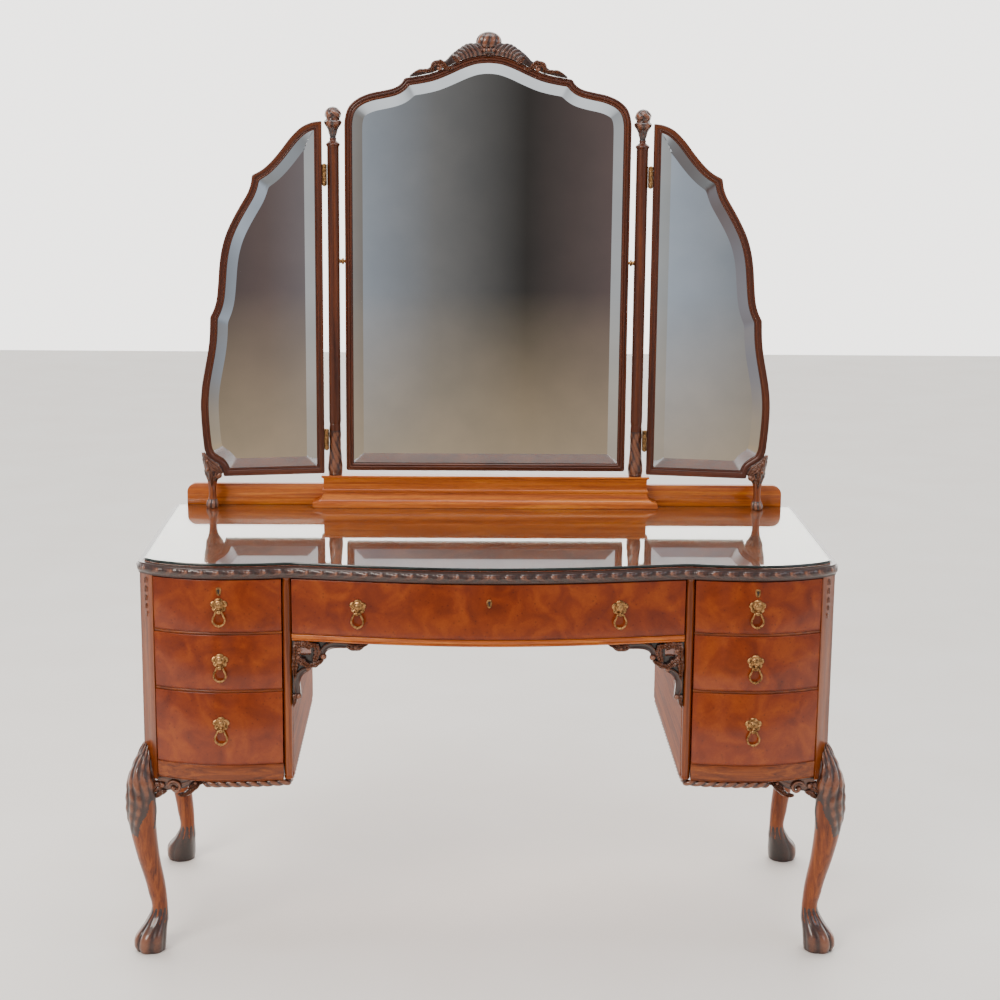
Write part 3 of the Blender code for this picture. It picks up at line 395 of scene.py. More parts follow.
def silvered_glass(name, tone):
    """A mirror: silver behind clear glass, with a haze of old polish too faint to blur it."""
    material, tree, shader = finish(name, Metallic=1.0, Roughness=0.015)
    haze = node(tree, "ShaderNodeTexNoise", {"Vector": place_in(tree)}, {"Scale": 9.0, "Detail": 4.0})
    colour = node(tree, "ShaderNodeValToRGB", {"Fac": haze}, stops=[(0.30, tone), (0.70, "#F2F4F2")])
    rough = node(tree, "ShaderNodeMapRange", {"Value": haze}, {"To Min": 0.008, "To Max": 0.03})
    join(tree, shader, Base_Color=colour, Roughness=rough)
    return material


def clouded(name, scale, low, high, **values):
    """A plain finish whose colour drifts between two close shades."""
    material, tree, shader = finish(name, **values)
    tone = node(tree, "ShaderNodeTexNoise", {"Vector": place_in(tree)}, {"Scale": scale})
    colour = node(tree, "ShaderNodeValToRGB", {"Fac": tone}, stops=[(0.3, low), (0.7, high)])
    join(tree, shader, Base_Color=colour)
    return material


# the hollow brown is partly painted shade, and the ridge brown partly a painted highlight
carved = carved_walnut("waxed_carved_walnut", "#1C0B05", "#3A1B0F", "#784529")
brass = antique_brass("antique_cast_brass", "#5C4024", "#C2925E")
glass = plate_glass("polished_plate_glass")
glass_edge = clouded("dark_edge_of_plate_glass", 30.0, "#0B1210", "#1B2A24", Roughness=0.08, Coat_Weight=1.0)
mirror = silvered_glass("silvered_mirror_glass", "#E4E8E8")
OAK_TONES = ("#9A6C3C", "#B98A54", "#CDA36C")
lining = straight_walnut("waxed_oak_drawer_lining", "Object", ALONG_Y, *OAK_TONES, coat=0.1, rough=0.55)
print("carved walnut, brass, glass, mirror and lining")

# %% [markdown]
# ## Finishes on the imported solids
# Each solid that stays visible takes the finish of its slot in the record. A solid that gets a
# detailed piece later is hidden then.

# %% Dress the solids
SLOT_FINISH = {"burr_veneer": burr, "walnut": walnut_upright, "carved_walnut": carved, "drawer_veneer": burr,
               "antique_brass": brass, "plate_glass": glass, "silvered_glass": mirror}
for entry in frame["record"]["subparts"]:
    solid = frame["nodes"][entry["node"]]
    solid.data.materials.clear()
    solid.data.materials.append(SLOT_FINISH[entry["material_slot"]])
print("dressed", len(frame["nodes"]), "solids")

# %% [markdown]
# ## Floor and light
# A studio floor is one pale plain sheet, and the light comes from broad soft boxes: one high in front
# on the left, one on the right, and a long one overhead that draws a line of light on each moulding.
# The world is a soft grey room, paler behind the table than in front of it, because the mirrors
# look forward and would be too white otherwise.

# %% Floor, lights and room
FLOOR_HALF, FLOOR_FRONT, FLOOR_BACK = 7.0, -2.6, 9.0
floor_x, floor_y = np.meshgrid(np.linspace(-FLOOR_HALF, FLOOR_HALF, 15),
                               np.linspace(FLOOR_FRONT, FLOOR_BACK, 13), indexing="ij")
floor_part = grid(np.stack([floor_x, floor_y, np.full_like(floor_x, -0.0005)], -1))
floor_mesh = bpy.data.meshes.new("floor")
floor_mesh.from_pydata(floor_part["points"].tolist(), [], floor_part["quads"].tolist())
floor_mesh.materials.append(clouded("pale_matt_floor", 3.0, "#E6E1DA", "#EAE6E0", Roughness=0.6))
floor = bpy.data.objects.new("floor", floor_mesh)
bpy.context.scene.collection.objects.link(floor)


def soft_box(name, at, aim, width, height, power, tint="#FFFFFF"):
    """A flat area light at a point, facing another point."""
    lamp = bpy.data.lights.new(name, "AREA")
    lamp.shape, lamp.size, lamp.size_y, lamp.energy = "RECTANGLE", width, height, power
    lamp.color = seen(tint)[:3]
    obj = bpy.data.objects.new(name, lamp)
    towards = np.array(aim, float) - np.array(at, float)
    pitch = math.atan2(-towards[2], math.hypot(towards[0], towards[1]))
    turn = math.atan2(-towards[0], towards[1])
    obj.matrix_world = (Matrix.Translation(at) @ Matrix.Rotation(turn, 4, "Z")
                        @ Matrix.Rotation(math.pi / 2 - pitch, 4, "X"))
    bpy.context.scene.collection.objects.link(obj)
    return obj


soft_box("key_light", (-2.6, -3.4, 3.6), (0, 0, 0.7), 2.2, 1.6, 160, "#FFF6EC")
soft_box("fill_light", (3.0, -2.6, 2.6), (0, 0, 0.7), 2.0, 1.6, 28, "#F2F6FF")
soft_box("top_light", (0.0, -0.4, 4.0), (0, 0, 0.8), 3.0, 1.2, 60)

world = bpy.data.worlds.new("studio")
bpy.context.scene.world = world
world.use_nodes = True
room = world.node_tree
looking = node(room, "ShaderNodeTexCoord").outputs["Generated"]
direction = node(room, "ShaderNodeSeparateXYZ", {"Vector": looking})
sideways, backwards, upwards = [direction.outputs[axis] for axis in "XYZ"]
side_share = node(room, "ShaderNodeMapRange", {"Value": sideways}, {"From Min": -0.25, "From Max": 0.25})
side_tone = node(room, "ShaderNodeValToRGB", {"Fac": side_share},
                 stops=[(0.0, "#C4C8CC"), (1.0, "#C4C4C6"), (0.10, "#7A6C60"), (0.24, "#51463F"),
                        (0.34, "#BCC5D4"), (0.48, "#7C7A7A"), (0.57, "#403C3A"), (0.66, "#6E5E5C"),
                        (0.78, "#96939A")])
low_share = node(room, "ShaderNodeMapRange", {"Value": upwards}, {"From Min": -0.10, "From Max": -0.21})
low_tone = node(room, "ShaderNodeMixRGB", {"Fac": low_share, "Color1": side_tone},
                {"Color2": seen("#C6AE90")})
x_narrow = node(room, "ShaderNodeMath", {0: sideways}, {1: 0.6}, operation="MULTIPLY")
x_square = node(room, "ShaderNodeMath", {0: x_narrow, 1: x_narrow}, operation="MULTIPLY")
z_moved = node(room, "ShaderNodeMath", {0: upwards}, {1: 0.10}, operation="ADD")
z_square = node(room, "ShaderNodeMath", {0: z_moved, 1: z_moved}, operation="MULTIPLY")
reach = node(room, "ShaderNodeMath", {0: x_square, 1: z_square}, operation="ADD")
outside = node(room, "ShaderNodeMapRange", {"Value": reach}, {"From Min": 0.020, "From Max": 0.060})
ahead = node(room, "ShaderNodeMixRGB", {"Fac": outside, "Color1": low_tone}, {"Color2": seen("#B4B6BA")})
depth = node(room, "ShaderNodeMapRange", {"Value": backwards}, {"From Min": 0.05, "From Max": 0.45})
shade = node(room, "ShaderNodeMixRGB", {"Fac": depth, "Color1": ahead}, {"Color2": seen("#FFFCF8")})
power = node(room, "ShaderNodeMapRange", {"Value": backwards},
             {"From Min": 0.05, "From Max": 0.45, "To Min": 0.95, "To Max": 3.2})
window_z = node(room, "ShaderNodeMath", {0: upwards}, {1: 7.7, 2: -1.7}, operation="MULTIPLY_ADD")
window_square = node(room, "ShaderNodeMath", {0: window_z, 1: window_z}, operation="MULTIPLY")
window = node(room, "ShaderNodeMath", {1: window_square}, {0: 1.0}, operation="SUBTRACT", use_clamp=True)
power = node(room, "ShaderNodeMath", {0: window, 2: power}, {1: 1.6}, operation="MULTIPLY_ADD")
join(room, room.nodes["Background"], Color=shade, Strength=power)
print("floor, three soft boxes and a grey room")

# %% [markdown]
# ## The carved edge of the top
# A moulding an inch high runs round the front and both sides, cut as a row of curling leaves that
# start at the middle and lie over towards each end. It could be cut with displacement, but a profile
# carried along the plan and pushed outwards by a height formula keeps exact control of each leaf.

# %% The plan line
def front_line(x, out=0.0):
    """Depth of the serpentine at x: a raised power over the kneehole, two parabolas over each pedestal."""
    a = np.abs(x)
    middle = -VALLEY - (CENTRE_BOW - VALLEY) * np.clip(1 - (a / COLUMN_X) ** 2, 0, None) ** 1.3
    inner = -PEDESTAL_BOW + (PEDESTAL_BOW - VALLEY) * ((PEDESTAL_MID - a) / (PEDESTAL_MID - COLUMN_X)) ** 2
    outer = -PEDESTAL_BOW + (PEDESTAL_BOW - CANT_DEPTH) * ((a - PEDESTAL_MID) / (CANT_X - PEDESTAL_MID)) ** 2
    return np.where(a < COLUMN_X, middle, np.where(a < PEDESTAL_MID, inner, outer)) - out + SHIFT


def even_steps(points, step):
    """The same line, with points the given distance apart along it."""
    lengths = run_of(points)
    count = max(int(round(lengths[-1] / step)), 2)
    at = np.linspace(0, lengths[-1], count + 1)
    return np.stack([np.interp(at, lengths, points[:, k]) for k in range(points.shape[1])], -1)


def softened(points, times, closed=False):
    """Each point drawn towards the mean of its neighbours, some number of times; open ends stay."""
    for _ in range(times):
        mean = (np.roll(points, 1, 0) + np.roll(points, -1, 0)) / 2
        if not closed:
            mean[0], mean[-1] = points[0], points[-1]
        points = (points + mean) / 2
    return points


def outward(points, closed=False):
    """Unit normals in the plane of a line: the direction along it turned a quarter to its right."""
    if closed:
        along = np.roll(points, -1, 0) - np.roll(points, 1, 0)
    else:
        along = np.gradient(points, axis=0)
    along = unit(along)
    return np.stack([along[:, 1], -along[:, 0]], -1)


def plan_line(out, back, step, soft):
    """The table's left side, front and right side, as seen from above, moved outwards and evenly stepped."""
    x = np.linspace(0, CANT_X + CORNER_SHARE * out, 60)
    half = np.column_stack([x, front_line(np.minimum(x, CANT_X), out)])
    half = np.vstack([half, [GLASS_HALF + out, SHIFT - CORNER_SHARE * out], [GLASS_HALF + out, back]])
    whole = np.vstack([half[:0:-1] * [-1, 1], half])
    return softened(even_steps(whole, step), soft)


EDGE_STEP = 1.6 * MM
edge_line = plan_line(0.0, EDGE_HIGH.y, EDGE_STEP, 12)
print("the carved edge is", round(len(edge_line) * EDGE_STEP, 2), "m long")

# %% Leaves along the edge
LEAF_LONG = 29 * MM
EDGE_INNER = 2.6 * MM                   # the moulding's inner face, outside the line of the glass
EDGE_DEEP = EDGE_OUT - EDGE_INNER       # from its inner face to its crest
EDGE_TALL = EDGE_HIGH.z - EDGE_LOW.z
TOP_FILLET, EDGE_SPAN = 0.12, 1.28      # the fillet and the whole face, where the carved round is 1 tall


def leaf_relief(along, over):
    """Height from 0 to 1 of a running leaf at a place along (in leaves) and over (0 top, 1 bottom).

    A leaf is a swelling that leans back as it goes down, split by three fine veins that fan from its
    foot; a bead sits in each fork between two leaves.
    """
    phase = (along + 0.42 * np.sin(np.pi * over) - 0.25 * over) % 1.0
    body = np.clip(1 - np.abs(2 * phase - 1) ** 1.7, 0, 1) * np.sin(np.pi * np.clip(over, 0, 1)) ** 0.6
    veins = 0.5 + 0.5 * np.cos(2 * np.pi * (phase * 4.0 - 1.2 * over))
    bead = np.exp(-(((along % 1.0) - 0.12) / 0.10) ** 2 - ((over - 0.32) / 0.17) ** 2)
    return np.clip(0.20 + 0.55 * body * (0.62 + 0.38 * veins) + 0.42 * bead, 0, 1)


def edge_part():
    """The edge's section, top fillet, carved round and bottom bead, carried along the plan line."""
    over = np.linspace(-TOP_FILLET, EDGE_SPAN - TOP_FILLET, 26)[None, :]
    from_middle = (np.arange(len(edge_line)) - len(edge_line) / 2)[:, None] * EDGE_STEP
    carving = leaf_relief(np.abs(from_middle) / LEAF_LONG, over)
    carving = np.where((over > 0.0) & (over < 1.0), carving, 0.45)
    swell = np.sin(np.pi * np.clip(over, 0.0, 1.0)) ** 0.5
    reach = EDGE_DEEP * (0.50 + 0.26 * swell + 0.24 * carving * swell) + 0.0 * from_middle
    reach = np.where((over < 0.0) | (over > 1.0), EDGE_DEEP * 0.60, reach)
    down = np.clip((over + TOP_FILLET) / EDGE_SPAN, 0, 1)
    height = EDGE_HIGH.z - EDGE_TALL * down + 0.0 * from_middle
    face = np.stack([reach, height], -1)
    inner_points = [[0, EDGE_LOW.z], [0, (EDGE_LOW.z + EDGE_HIGH.z) / 2], [0, EDGE_HIGH.z]]
    inner = np.zeros((len(edge_line), 3, 2)) + np.array(inner_points)
    section = np.concatenate([face, inner], 1)
    start = edge_line + outward(edge_line) * EDGE_INNER
    flat = start[:, None, :] + outward(edge_line)[:, None, :] * section[..., :1]
    points = np.concatenate([flat, section[..., 1:]], -1)
    relief = np.concatenate([carving, np.zeros((len(edge_line), 3))], 1)
    return grid(points, round_cols=True, caps=True, relief=relief)


piece("carved_edge", "table", [edge_part()], [carved], ["carved_top_edge"], crease=60)

# %% [markdown]
# ## The plate glass on the top
# A 6 mm plate lies on the veneer, cut to the same serpentine and let in round the mirror's base. Its
# ground edge is seen through its own thickness, so it looks almost black. One outline is stacked at a
# few heights, drawn in a little at the top and bottom as a polished arris.

# %% A flat plate from its outline
def plate(outline, levels, plane="lying", drawn=None):
    """A closed outline (n x 2) stacked at levels of (inset, depth), with flat ends.

    Lying, its depth is a height. Upright, its depth is y and the outline is x and z. drawn gives
    ready-made outlines in place of the inset ones.
    """
    normals = outward(outline, closed=True)
    area = np.sum(outline[:, 0] * np.roll(outline[:, 1], -1) - np.roll(outline[:, 0], -1) * outline[:, 1])
    normals = normals * (1 if area > 0 else -1)
    rings = [outline - normals * inset for inset, _ in levels] if drawn is None else drawn
    rows = []
    for ring, (_, depth) in zip(rings, levels):
        third = np.full((len(ring), 1), depth)
        columns = [ring, third] if plane == "lying" else [ring[:, :1], third, ring[:, 1:]]
        rows.append(np.hstack(columns))
    return grid(np.array(rows), round_cols=True, caps=True)


def board(low, high, ease=0.8 * MM):
    """A board between two corners: its outline with clipped corners, drawn in at the top and bottom."""
    (x0, y0, z0), (x1, y1, z1) = low, high
    outline = np.array([[x0 + ease, y0], [x1 - ease, y0], [x1, y0 + ease], [x1, y1 - ease],
                        [x1 - ease, y1], [x0 + ease, y1], [x0, y1 - ease], [x0, y0 + ease]])
    middle = np.array([(x0 + x1) / 2, (y0 + y1) / 2])
    inner = outline - np.sign(outline - middle) * ease
    rows = [np.hstack([ring, np.full((8, 1), z)])
            for ring, z in ((inner, z0), (outline, z0 + ease), (outline, z1 - ease), (inner, z1))]
    return grid(np.array(rows), round_cols=True, caps=True)


# %% The glass
BASE_LOW, BASE_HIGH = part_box("mirror_base")
notch, notch_front = BASE_HIGH.x + 0.3 * MM, BASE_LOW.y - 0.3 * MM
glass_line = plan_line(0.0, GLASS_HIGH.y, 4 * MM, 2)
glass_outline = np.vstack([glass_line, [[notch, GLASS_HIGH.y], [notch, notch_front],
                                        [-notch, notch_front], [-notch, GLASS_HIGH.y]]])
foot, crown = GLASS_LOW.z, GLASS_HIGH.z
glass_levels = [(1.2 * MM, foot), (0.2 * MM, foot + 0.8 * MM), (0.0, foot + 2 * MM), (0.0, crown - 2 * MM),
                (0.3 * MM, crown - 0.8 * MM), (1.2 * MM, crown)]
glass_part = plate(glass_outline, glass_levels)
two_faces = {**glass_part, "quads": glass_part["quads"][:0]}
ground_edge = {**glass_part, "ends": [], "finish": 1}
piece("glass_over_the_top", "table", [two_faces, ground_edge], [glass, glass_edge],
      ["glass_top"])

# %% [markdown]
# ## Drawers
# Each drawer is a bowed front, veneered in burr, on a tray of oak: two sides, a back and a bottom let
# in above their lower edge. The front follows the serpentine, so its section, a rectangle with eased
# edges, is carried across the table and every point of it is set back from the front line.

# %% A bowed bar and the drawers
STRAIGHT = 0.9                  # a section point this deep or more lies on the bar's straight back


def bowed_bar(x_low, x_high, section, out, back=None, count=48):
    """A section of (depth, height), carried from one x to another along the front line; capped."""
    x = np.linspace(x_low, x_high, count)[:, None]
    depth, height = np.array(section)[None, :, 0], np.array(section)[None, :, 1]
    y = front_line(x, out) + depth
    if back is not None:
        y = np.where(depth >= STRAIGHT, back, y)
    points = np.stack([x + 0 * y, y, height + 0 * y], -1)
    return grid(points, round_cols=True, caps=True)


def eased(front, back, z_low, z_high, ease):
    """A rectangle of depth and height with its corners rounded off in three steps."""
    turn = np.radians([0, 30, 60, 90])
    s, c = 1 - np.sin(turn), 1 - np.cos(turn)
    lower = np.column_stack([front + ease * s, z_low + ease * c])[::-1]
    upper = np.column_stack([front + ease * c, z_high - ease * s])
    return np.vstack([lower, upper, [[back, z_high], [back, z_low]]])


FRONT_THICK, TRAY_WALL, TRAY_FLOOR, SIDE_DROP, SET_IN = 0.020, 0.010, 0.008, 0.012, 0.003


def drawer(name):
    """A drawer in its solid's box: a bowed front on two sides, a back and a bottom."""
    low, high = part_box(name)
    ends = max(front_line(low.x, CARCASS_OUT), front_line(high.x, CARCASS_OUT))
    front = eased(0.0, FRONT_THICK, low.z, high.z, 1.3 * MM)
    parts = [bowed_bar(low.x, high.x, front, CARCASS_OUT, count=72 if low.x < 0 < high.x else 44)]
    y0, y1 = float(ends) + FRONT_THICK - 1 * MM, high.y
    x0, x1, z1 = low.x + SET_IN, high.x - SET_IN, high.z - SIDE_DROP
    boards = [((x0, y0, low.z), (x0 + TRAY_WALL, y1, z1)), ((x1 - TRAY_WALL, y0, low.z), (x1, y1, z1)),
              ((x0 + TRAY_WALL, y1 - TRAY_WALL, low.z), (x1 - TRAY_WALL, y1, z1 - 2 * MM))]
    section = [(FRONT_THICK - 2 * MM, low.z), (FRONT_THICK - 2 * MM, low.z + TRAY_FLOOR),
               (STRAIGHT, low.z + TRAY_FLOOR), (STRAIGHT, low.z)]
    tray = [board(*corners) for corners in boards]
    tray.append(bowed_bar(x0 + TRAY_WALL, x1 - TRAY_WALL, section, CARCASS_OUT, y1 - TRAY_WALL, 24))
    for part in tray:
        part["finish"] = 1
    piece(name + "_veneered", name, parts + tray, [burr, lining], [name])


ROWS = ("bottom", "middle", "top")
SIDES = (("left", -1), ("right", 1))
for word, side in SIDES:
    for row in ROWS:
        drawer("%s_%s_drawer" % (word, row))
drawer("centre_drawer")

# %% [markdown]
# ## Rails, plinths and rope
# Between the drawers lie thin blades whose rounded noses catch the light. Below them a bowed plinth
# closes the pedestal, and under it runs a rope, cut as a twist of fat strands. A rope is a tube whose
# radius swells and shrinks round a turn that advances along it, so a short formula draws all of it.

# %% Rails and racks
def rope(line, radius, pitch, strands=2):
    """A tube along a line (n x 3), with domed ends: its radius swells as |cos| of the angle less the twist."""
    along = unit(np.gradient(line, axis=0))
    side = unit(np.cross(along, [0.0, 0.0, 1.0]))
    up = np.cross(side, along)
    length = run_of(line)
    turn = angles(24)
    twist = 2 * np.pi * length[:, None] / (pitch * strands)
    strand = np.abs(np.cos(strands * (turn - twist) / 2)) ** 0.65
    ends = np.clip(np.minimum(length, length[-1] - length) / radius, 0.04, 1)[:, None] ** 0.5
    reach = radius * (0.62 + 0.38 * strand) * ends
    points = line[:, None, :] + reach[..., None] * (np.cos(turn)[..., None] * side[:, None, :]
                                                    + np.sin(turn)[..., None] * up[:, None, :])
    return grid(points, round_cols=True, caps=True, relief=0.15 + 0.8 * strand)


PLINTH_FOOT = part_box("right_outer_side")[0].z
PLINTH_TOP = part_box("right_bottom_drawer")[0].z - 0.5 * MM
ROPE_R = (PLINTH_FOOT - PEDESTAL_FOOT) / 2
RACK_BACK = 0.010
INNER_RAIL_FRONT, OUTER_RAIL_FRONT = 0.030, 0.063       # runners' front ends, behind the glass's corners
STILE_IN = CARCASS_HALF - STILE
EAR_REACH = 0.092                                       # the rope starts where the leg's ear ends
ROPE_PITCH = 20 * MM


def rack(name, side):
    """What holds a pedestal's drawers: blades, plinth, runners, back panel and the rope round its foot."""
    low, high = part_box(name)
    inner, outer = COLUMN_X + COLUMN_R + 0.3 * MM, STILE_IN - 0.3 * MM
    wide_in, wide_out = KNEEHOLE_HALF + SIDE_THICK + 0.3 * MM, CARCASS_HALF - SIDE_THICK - 0.3 * MM
    seams = [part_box("right_%s_drawer" % row) for row in ROWS]
    blades = [(below[1].z + 0.5 * MM, above[0].z - 0.5 * MM) for below, above in zip(seams, seams[1:])]
    parts = []
    for z_low, z_high in blades + [(PLINTH_FOOT, PLINTH_TOP)]:
        section = eased(0.0, STRAIGHT, z_low, z_high, min(1.6 * MM, (z_high - z_low) * 0.4))
        parts.append(bowed_bar(inner, outer, section, CARCASS_OUT - 0.8 * MM, high.y - RACK_BACK))
        for x_low, x_high, front in ((wide_in, inner, INNER_RAIL_FRONT), (outer, wide_out, OUTER_RAIL_FRONT)):
            rail = board((x_low, SHIFT + front, z_low), (x_high, high.y - RACK_BACK, z_high), 0.3 * MM)
            parts.append(rail)
    back_low = (wide_in, high.y - RACK_BACK, low.z + 2 * ROPE_R + 2 * MM)
    parts.append(board(back_low, (outer, high.y, high.z), 0.5 * MM))
    sided = [moved(part, side=side) for part in parts]
    x = np.linspace(STILE_IN - EAR_REACH, COLUMN_X, 110)
    front = np.column_stack([x, front_line(x, CARCASS_OUT) + ROPE_R, np.full_like(x, PEDESTAL_FOOT + ROPE_R)])
    back = np.array([[KNEEHOLE_HALF + ROPE_R, SHIFT + 0.012, PEDESTAL_FOOT + ROPE_R],
                     [KNEEHOLE_HALF + ROPE_R, CARCASS_BACK - 2 * MM, PEDESTAL_FOOT + ROPE_R]])
    line = softened(even_steps(np.vstack([front, back]), 1.6 * MM), 10)
    twist = moved(rope(line, ROPE_R, ROPE_PITCH), side=side)
    twist["finish"] = 1
    piece(name + "_blades", "table", sided + [twist], [walnut_blade, carved], [name])


rack("left_drawer_rack", -1)
rack("right_drawer_rack", 1)


# %% The rail under the centre drawer, the columns and the sides
def centre_rail():
    """The rail under the centre drawer, bowed like it, and the panel behind."""
    low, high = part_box("centre_rail")
    drawer_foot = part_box("centre_drawer")[0].z
    half = high.x
    section = eased(0.0, STRAIGHT, low.z, drawer_foot - 0.5 * MM, 4 * MM)
    rail = bowed_bar(-half, half, section, CARCASS_OUT - 0.8 * MM, high.y - RACK_BACK, 72)
    panel = board((-half, high.y - RACK_BACK, low.z + 2 * MM), (half, high.y, high.z), 0.5 * MM)
    piece("kneehole_rail", "table", [rail, panel], [walnut_across], ["centre_rail"])


def turned(profile, x, y, steps=48, relief=None):
    """A profile of (radius, height), bottom to top, turned about a vertical line."""
    turn = angles(steps)
    radius, height = np.array(profile)[:, :1], np.array(profile)[:, 1:]
    points = np.stack([x + radius * np.cos(turn), y + radius * np.sin(turn), height + 0 * turn], -1)
    return grid(points, round_cols=True, caps=True, relief=relief)


centre_rail()
for word, side in SIDES:
    low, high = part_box(word + "_column")
    y = (low.y + high.y) / 2
    r, top = COLUMN_R, high.z
    # each pair is how far the turning lies inside the column's radius, and how far up or down it is, in mm
    base = [(2, 0), (0.4, 1), (0.4, 5), (1.4, 7), (1.0, 9), (0, 30)]
    head = [(0, 26), (1.2, 8), (1.4, 6), (0, 4), (0, 0)]
    profile = [(r - inside * MM, PLINTH_FOOT + rise * MM) for inside, rise in base]
    profile += [(r - inside * MM, top - drop * MM) for inside, drop in head]
    column = turned(profile, side * COLUMN_X, y)
    piece(word + "_quarter_column", "table", [column], [walnut_upright], [word + "_column"])
    low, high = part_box(word + "_inner_side")
    side_board = board((low.x, low.y, PLINTH_FOOT), (high.x, high.y, high.z), 0.6 * MM)
    piece(word + "_kneehole_side", "table", [side_board], [walnut_deep], [word + "_inner_side"])
    frame["nodes"][word + "_outer_side"].data.materials[0] = walnut_deep

# %% [markdown]
# ## Cabriole legs
# A cabriole leg bends out at the knee and back in at the ankle, and stands here on a lion's paw. On
# the real one the knee is carved with leaves that run down to a point, C-scroll ears join it to the
# carcass, and the stile above is canted and carries a hanging husk. The limb is a tube whose middle
# line, radius and carving are all functions of height, on the diagonal of its corner; the carving is
# a push along the normal that fades out where the leaves end.

# %% Leaves, scrolls and limbs
def smooth_between(at, knots, values):
    """Cubic Hermite through knots with the slopes of the chords either side, evaluated at many places."""
    knots, values = np.array(knots, float), np.array(values, float)
    slopes = np.gradient(values, knots)
    k = np.clip(np.searchsorted(knots, at) - 1, 0, len(knots) - 2)
    span = knots[k + 1] - knots[k]
    t = np.clip((at - knots[k]) / span, 0, 1)
    return ((2 * t ** 3 - 3 * t ** 2 + 1) * values[k] + (t ** 3 - 2 * t ** 2 + t) * span * slopes[k]
            + (-2 * t ** 3 + 3 * t ** 2) * values[k + 1] + (t ** 3 - t ** 2) * span * slopes[k + 1])


def leaf(spine, widths, lift, facing, veins=3, lobes=4, thick=1.5 * MM, rows=46, cupped=0.0):
    """A carved leaf: a strip along a spine (n x 3), wide by widths, that faces one way.

    Its section is a shallow crown with a groove at the midrib and veins that fan out to the edge;
    its edge is scalloped by lobes; its back is flat and thick below. Height gives the relief. A
    cupped one is a hollow strap between two rims instead.
    """
    at = np.linspace(0, 1, rows)
    spine = np.array(spine, float)
    knots = np.linspace(0, 1, len(spine))
    line = np.stack([smooth_between(at, knots, spine[:, k]) for k in range(3)], -1)
    along = unit(np.gradient(line, axis=0))
    facing = np.broadcast_to(np.array(facing, float), line.shape)
    facing = unit(facing - along * np.sum(facing * along, 1, keepdims=True))
    over = np.cross(along, facing)
    width = smooth_between(at, np.linspace(0, 1, len(widths)), widths)
    scallop = 1 - 0.20 * np.abs(np.cos(np.pi * lobes * at)) ** 3
    s = np.linspace(-1, 1, 15)
    reach = (width * scallop)[:, None] * s[None, :]
    crown = ((1 - cupped) * (1 - s ** 2) ** 0.5 + cupped * (0.2 + 0.8 * np.abs(s) ** 3))[None, :]
    groove = 1 - 0.55 * (1 - cupped) * np.exp(-(s / 0.12) ** 2)[None, :]
    vein_turns = veins * np.abs(s)[None, :] + 1.5 * lobes * at[:, None]
    fan = 0.78 + 0.22 * (1 - cupped) * np.cos(2 * np.pi * vein_turns)
    height = np.clip(crown * groove * fan, 0, 1)
    tall = lift * np.clip(np.minimum(at, 1 - at) * 8, 0.15, 1)[:, None]
    front = line[:, None] + over[:, None] * reach[..., None] + facing[:, None] * (height * tall)[..., None]
    back = line[:, None] + over[:, None] * reach[:, ::-1, None] * 0.98 - facing[:, None] * thick
    relief = np.concatenate([0.15 + 0.85 * height, np.zeros_like(height)], 1)
    return grid(np.concatenate([front, back], 1), round_cols=True, caps=True, relief=relief)


def strip(at, places, widths, lift, out, lobes, thick, cupped=0.0):
    """A leaf through places, each in a carving's own millimetres, which at() turns into a point."""
    spine = [at(*place) for place in places]
    return leaf(spine, np.array(widths) * MM, lift * MM, out, lobes=lobes, thick=thick * MM, cupped=cupped)


def scroll(centre, radius, start, sweep, wire, across, up, shrink=0.30, rows=60):
    """A C-scroll: a round bar on a spiral in the plane of two directions, which tightens as it turns."""
    t = np.linspace(0, 1, rows)
    turn = np.radians(start + sweep * t)
    reach = radius * (1 - (1 - shrink) * t)
    across, up = np.array(across, float), np.array(up, float)
    line = np.array(centre) + reach[:, None] * (np.cos(turn)[:, None] * across + np.sin(turn)[:, None] * up)
    along = unit(np.gradient(line, axis=0))
    out = np.cross(across, up)
    side = np.cross(along, out)
    around = angles(14)
    thick = (wire * (0.55 + 0.45 * np.sin(np.pi * np.clip(t * 0.9 + 0.1, 0, 1))))[:, None]
    points = (line[:, None] + (thick * np.cos(around))[..., None] * side[:, None]
              + (thick * 1.15 * np.sin(around))[..., None] * out)
    # painted highlight: the side of the bar that faces forward and a little up takes ridge relief, and so a
    # lighter brown, whichever way the scroll itself faces
    relief = 0.35 + 0.6 * np.clip(np.sin(around) * np.sign(out @ [0, -1, 0.2]), 0, 1) + 0 * t[:, None]
    return grid(points, round_cols=True, caps=True, relief=relief)


def button(centre, radius, tall, facing, rows=9, steps=18):
    """A low dome facing one way: circles that shrink as the cosine while they rise as the sine."""
    facing = unit(np.array(facing, float))
    over = unit(np.cross(facing, [0, 0, 1.0] if abs(facing[2]) < 0.9 else [1.0, 0, 0]))
    up = np.cross(over, facing)
    t = np.linspace(0, np.pi / 2 - 0.06, rows)[:, None]
    turn = angles(steps)
    flat = radius * np.cos(t)
    points = (np.array(centre) + (flat * np.cos(turn))[..., None] * over
              + (flat * np.sin(turn))[..., None] * up + (tall * np.sin(t) + 0 * turn)[..., None] * facing)
    sunk = points[:1] - facing * 1.5 * MM
    relief = np.vstack([np.zeros((1, steps)), 0.3 + 0.7 * np.sin(t) + 0 * turn])
    return grid(np.concatenate([sunk, points]), round_cols=True, caps=True, relief=relief)


def in_two(part, dark, plain_finish=0, plain_ends=0):
    """A surface as its plain faces, with that many of its last ends, and its carved ones, where dark > 0.5."""
    is_cut = dark.reshape(-1)[part["quads"]].mean(axis=1) > 0.5
    quads, ends, count = part["quads"], part["ends"], len(part["ends"]) - plain_ends
    plain = {**part, "quads": quads[~is_cut], "ends": ends[count:], "finish": plain_finish}
    cut = {**part, "quads": quads[is_cut], "ends": ends[:count], "finish": 1 - plain_finish}
    return plain, cut


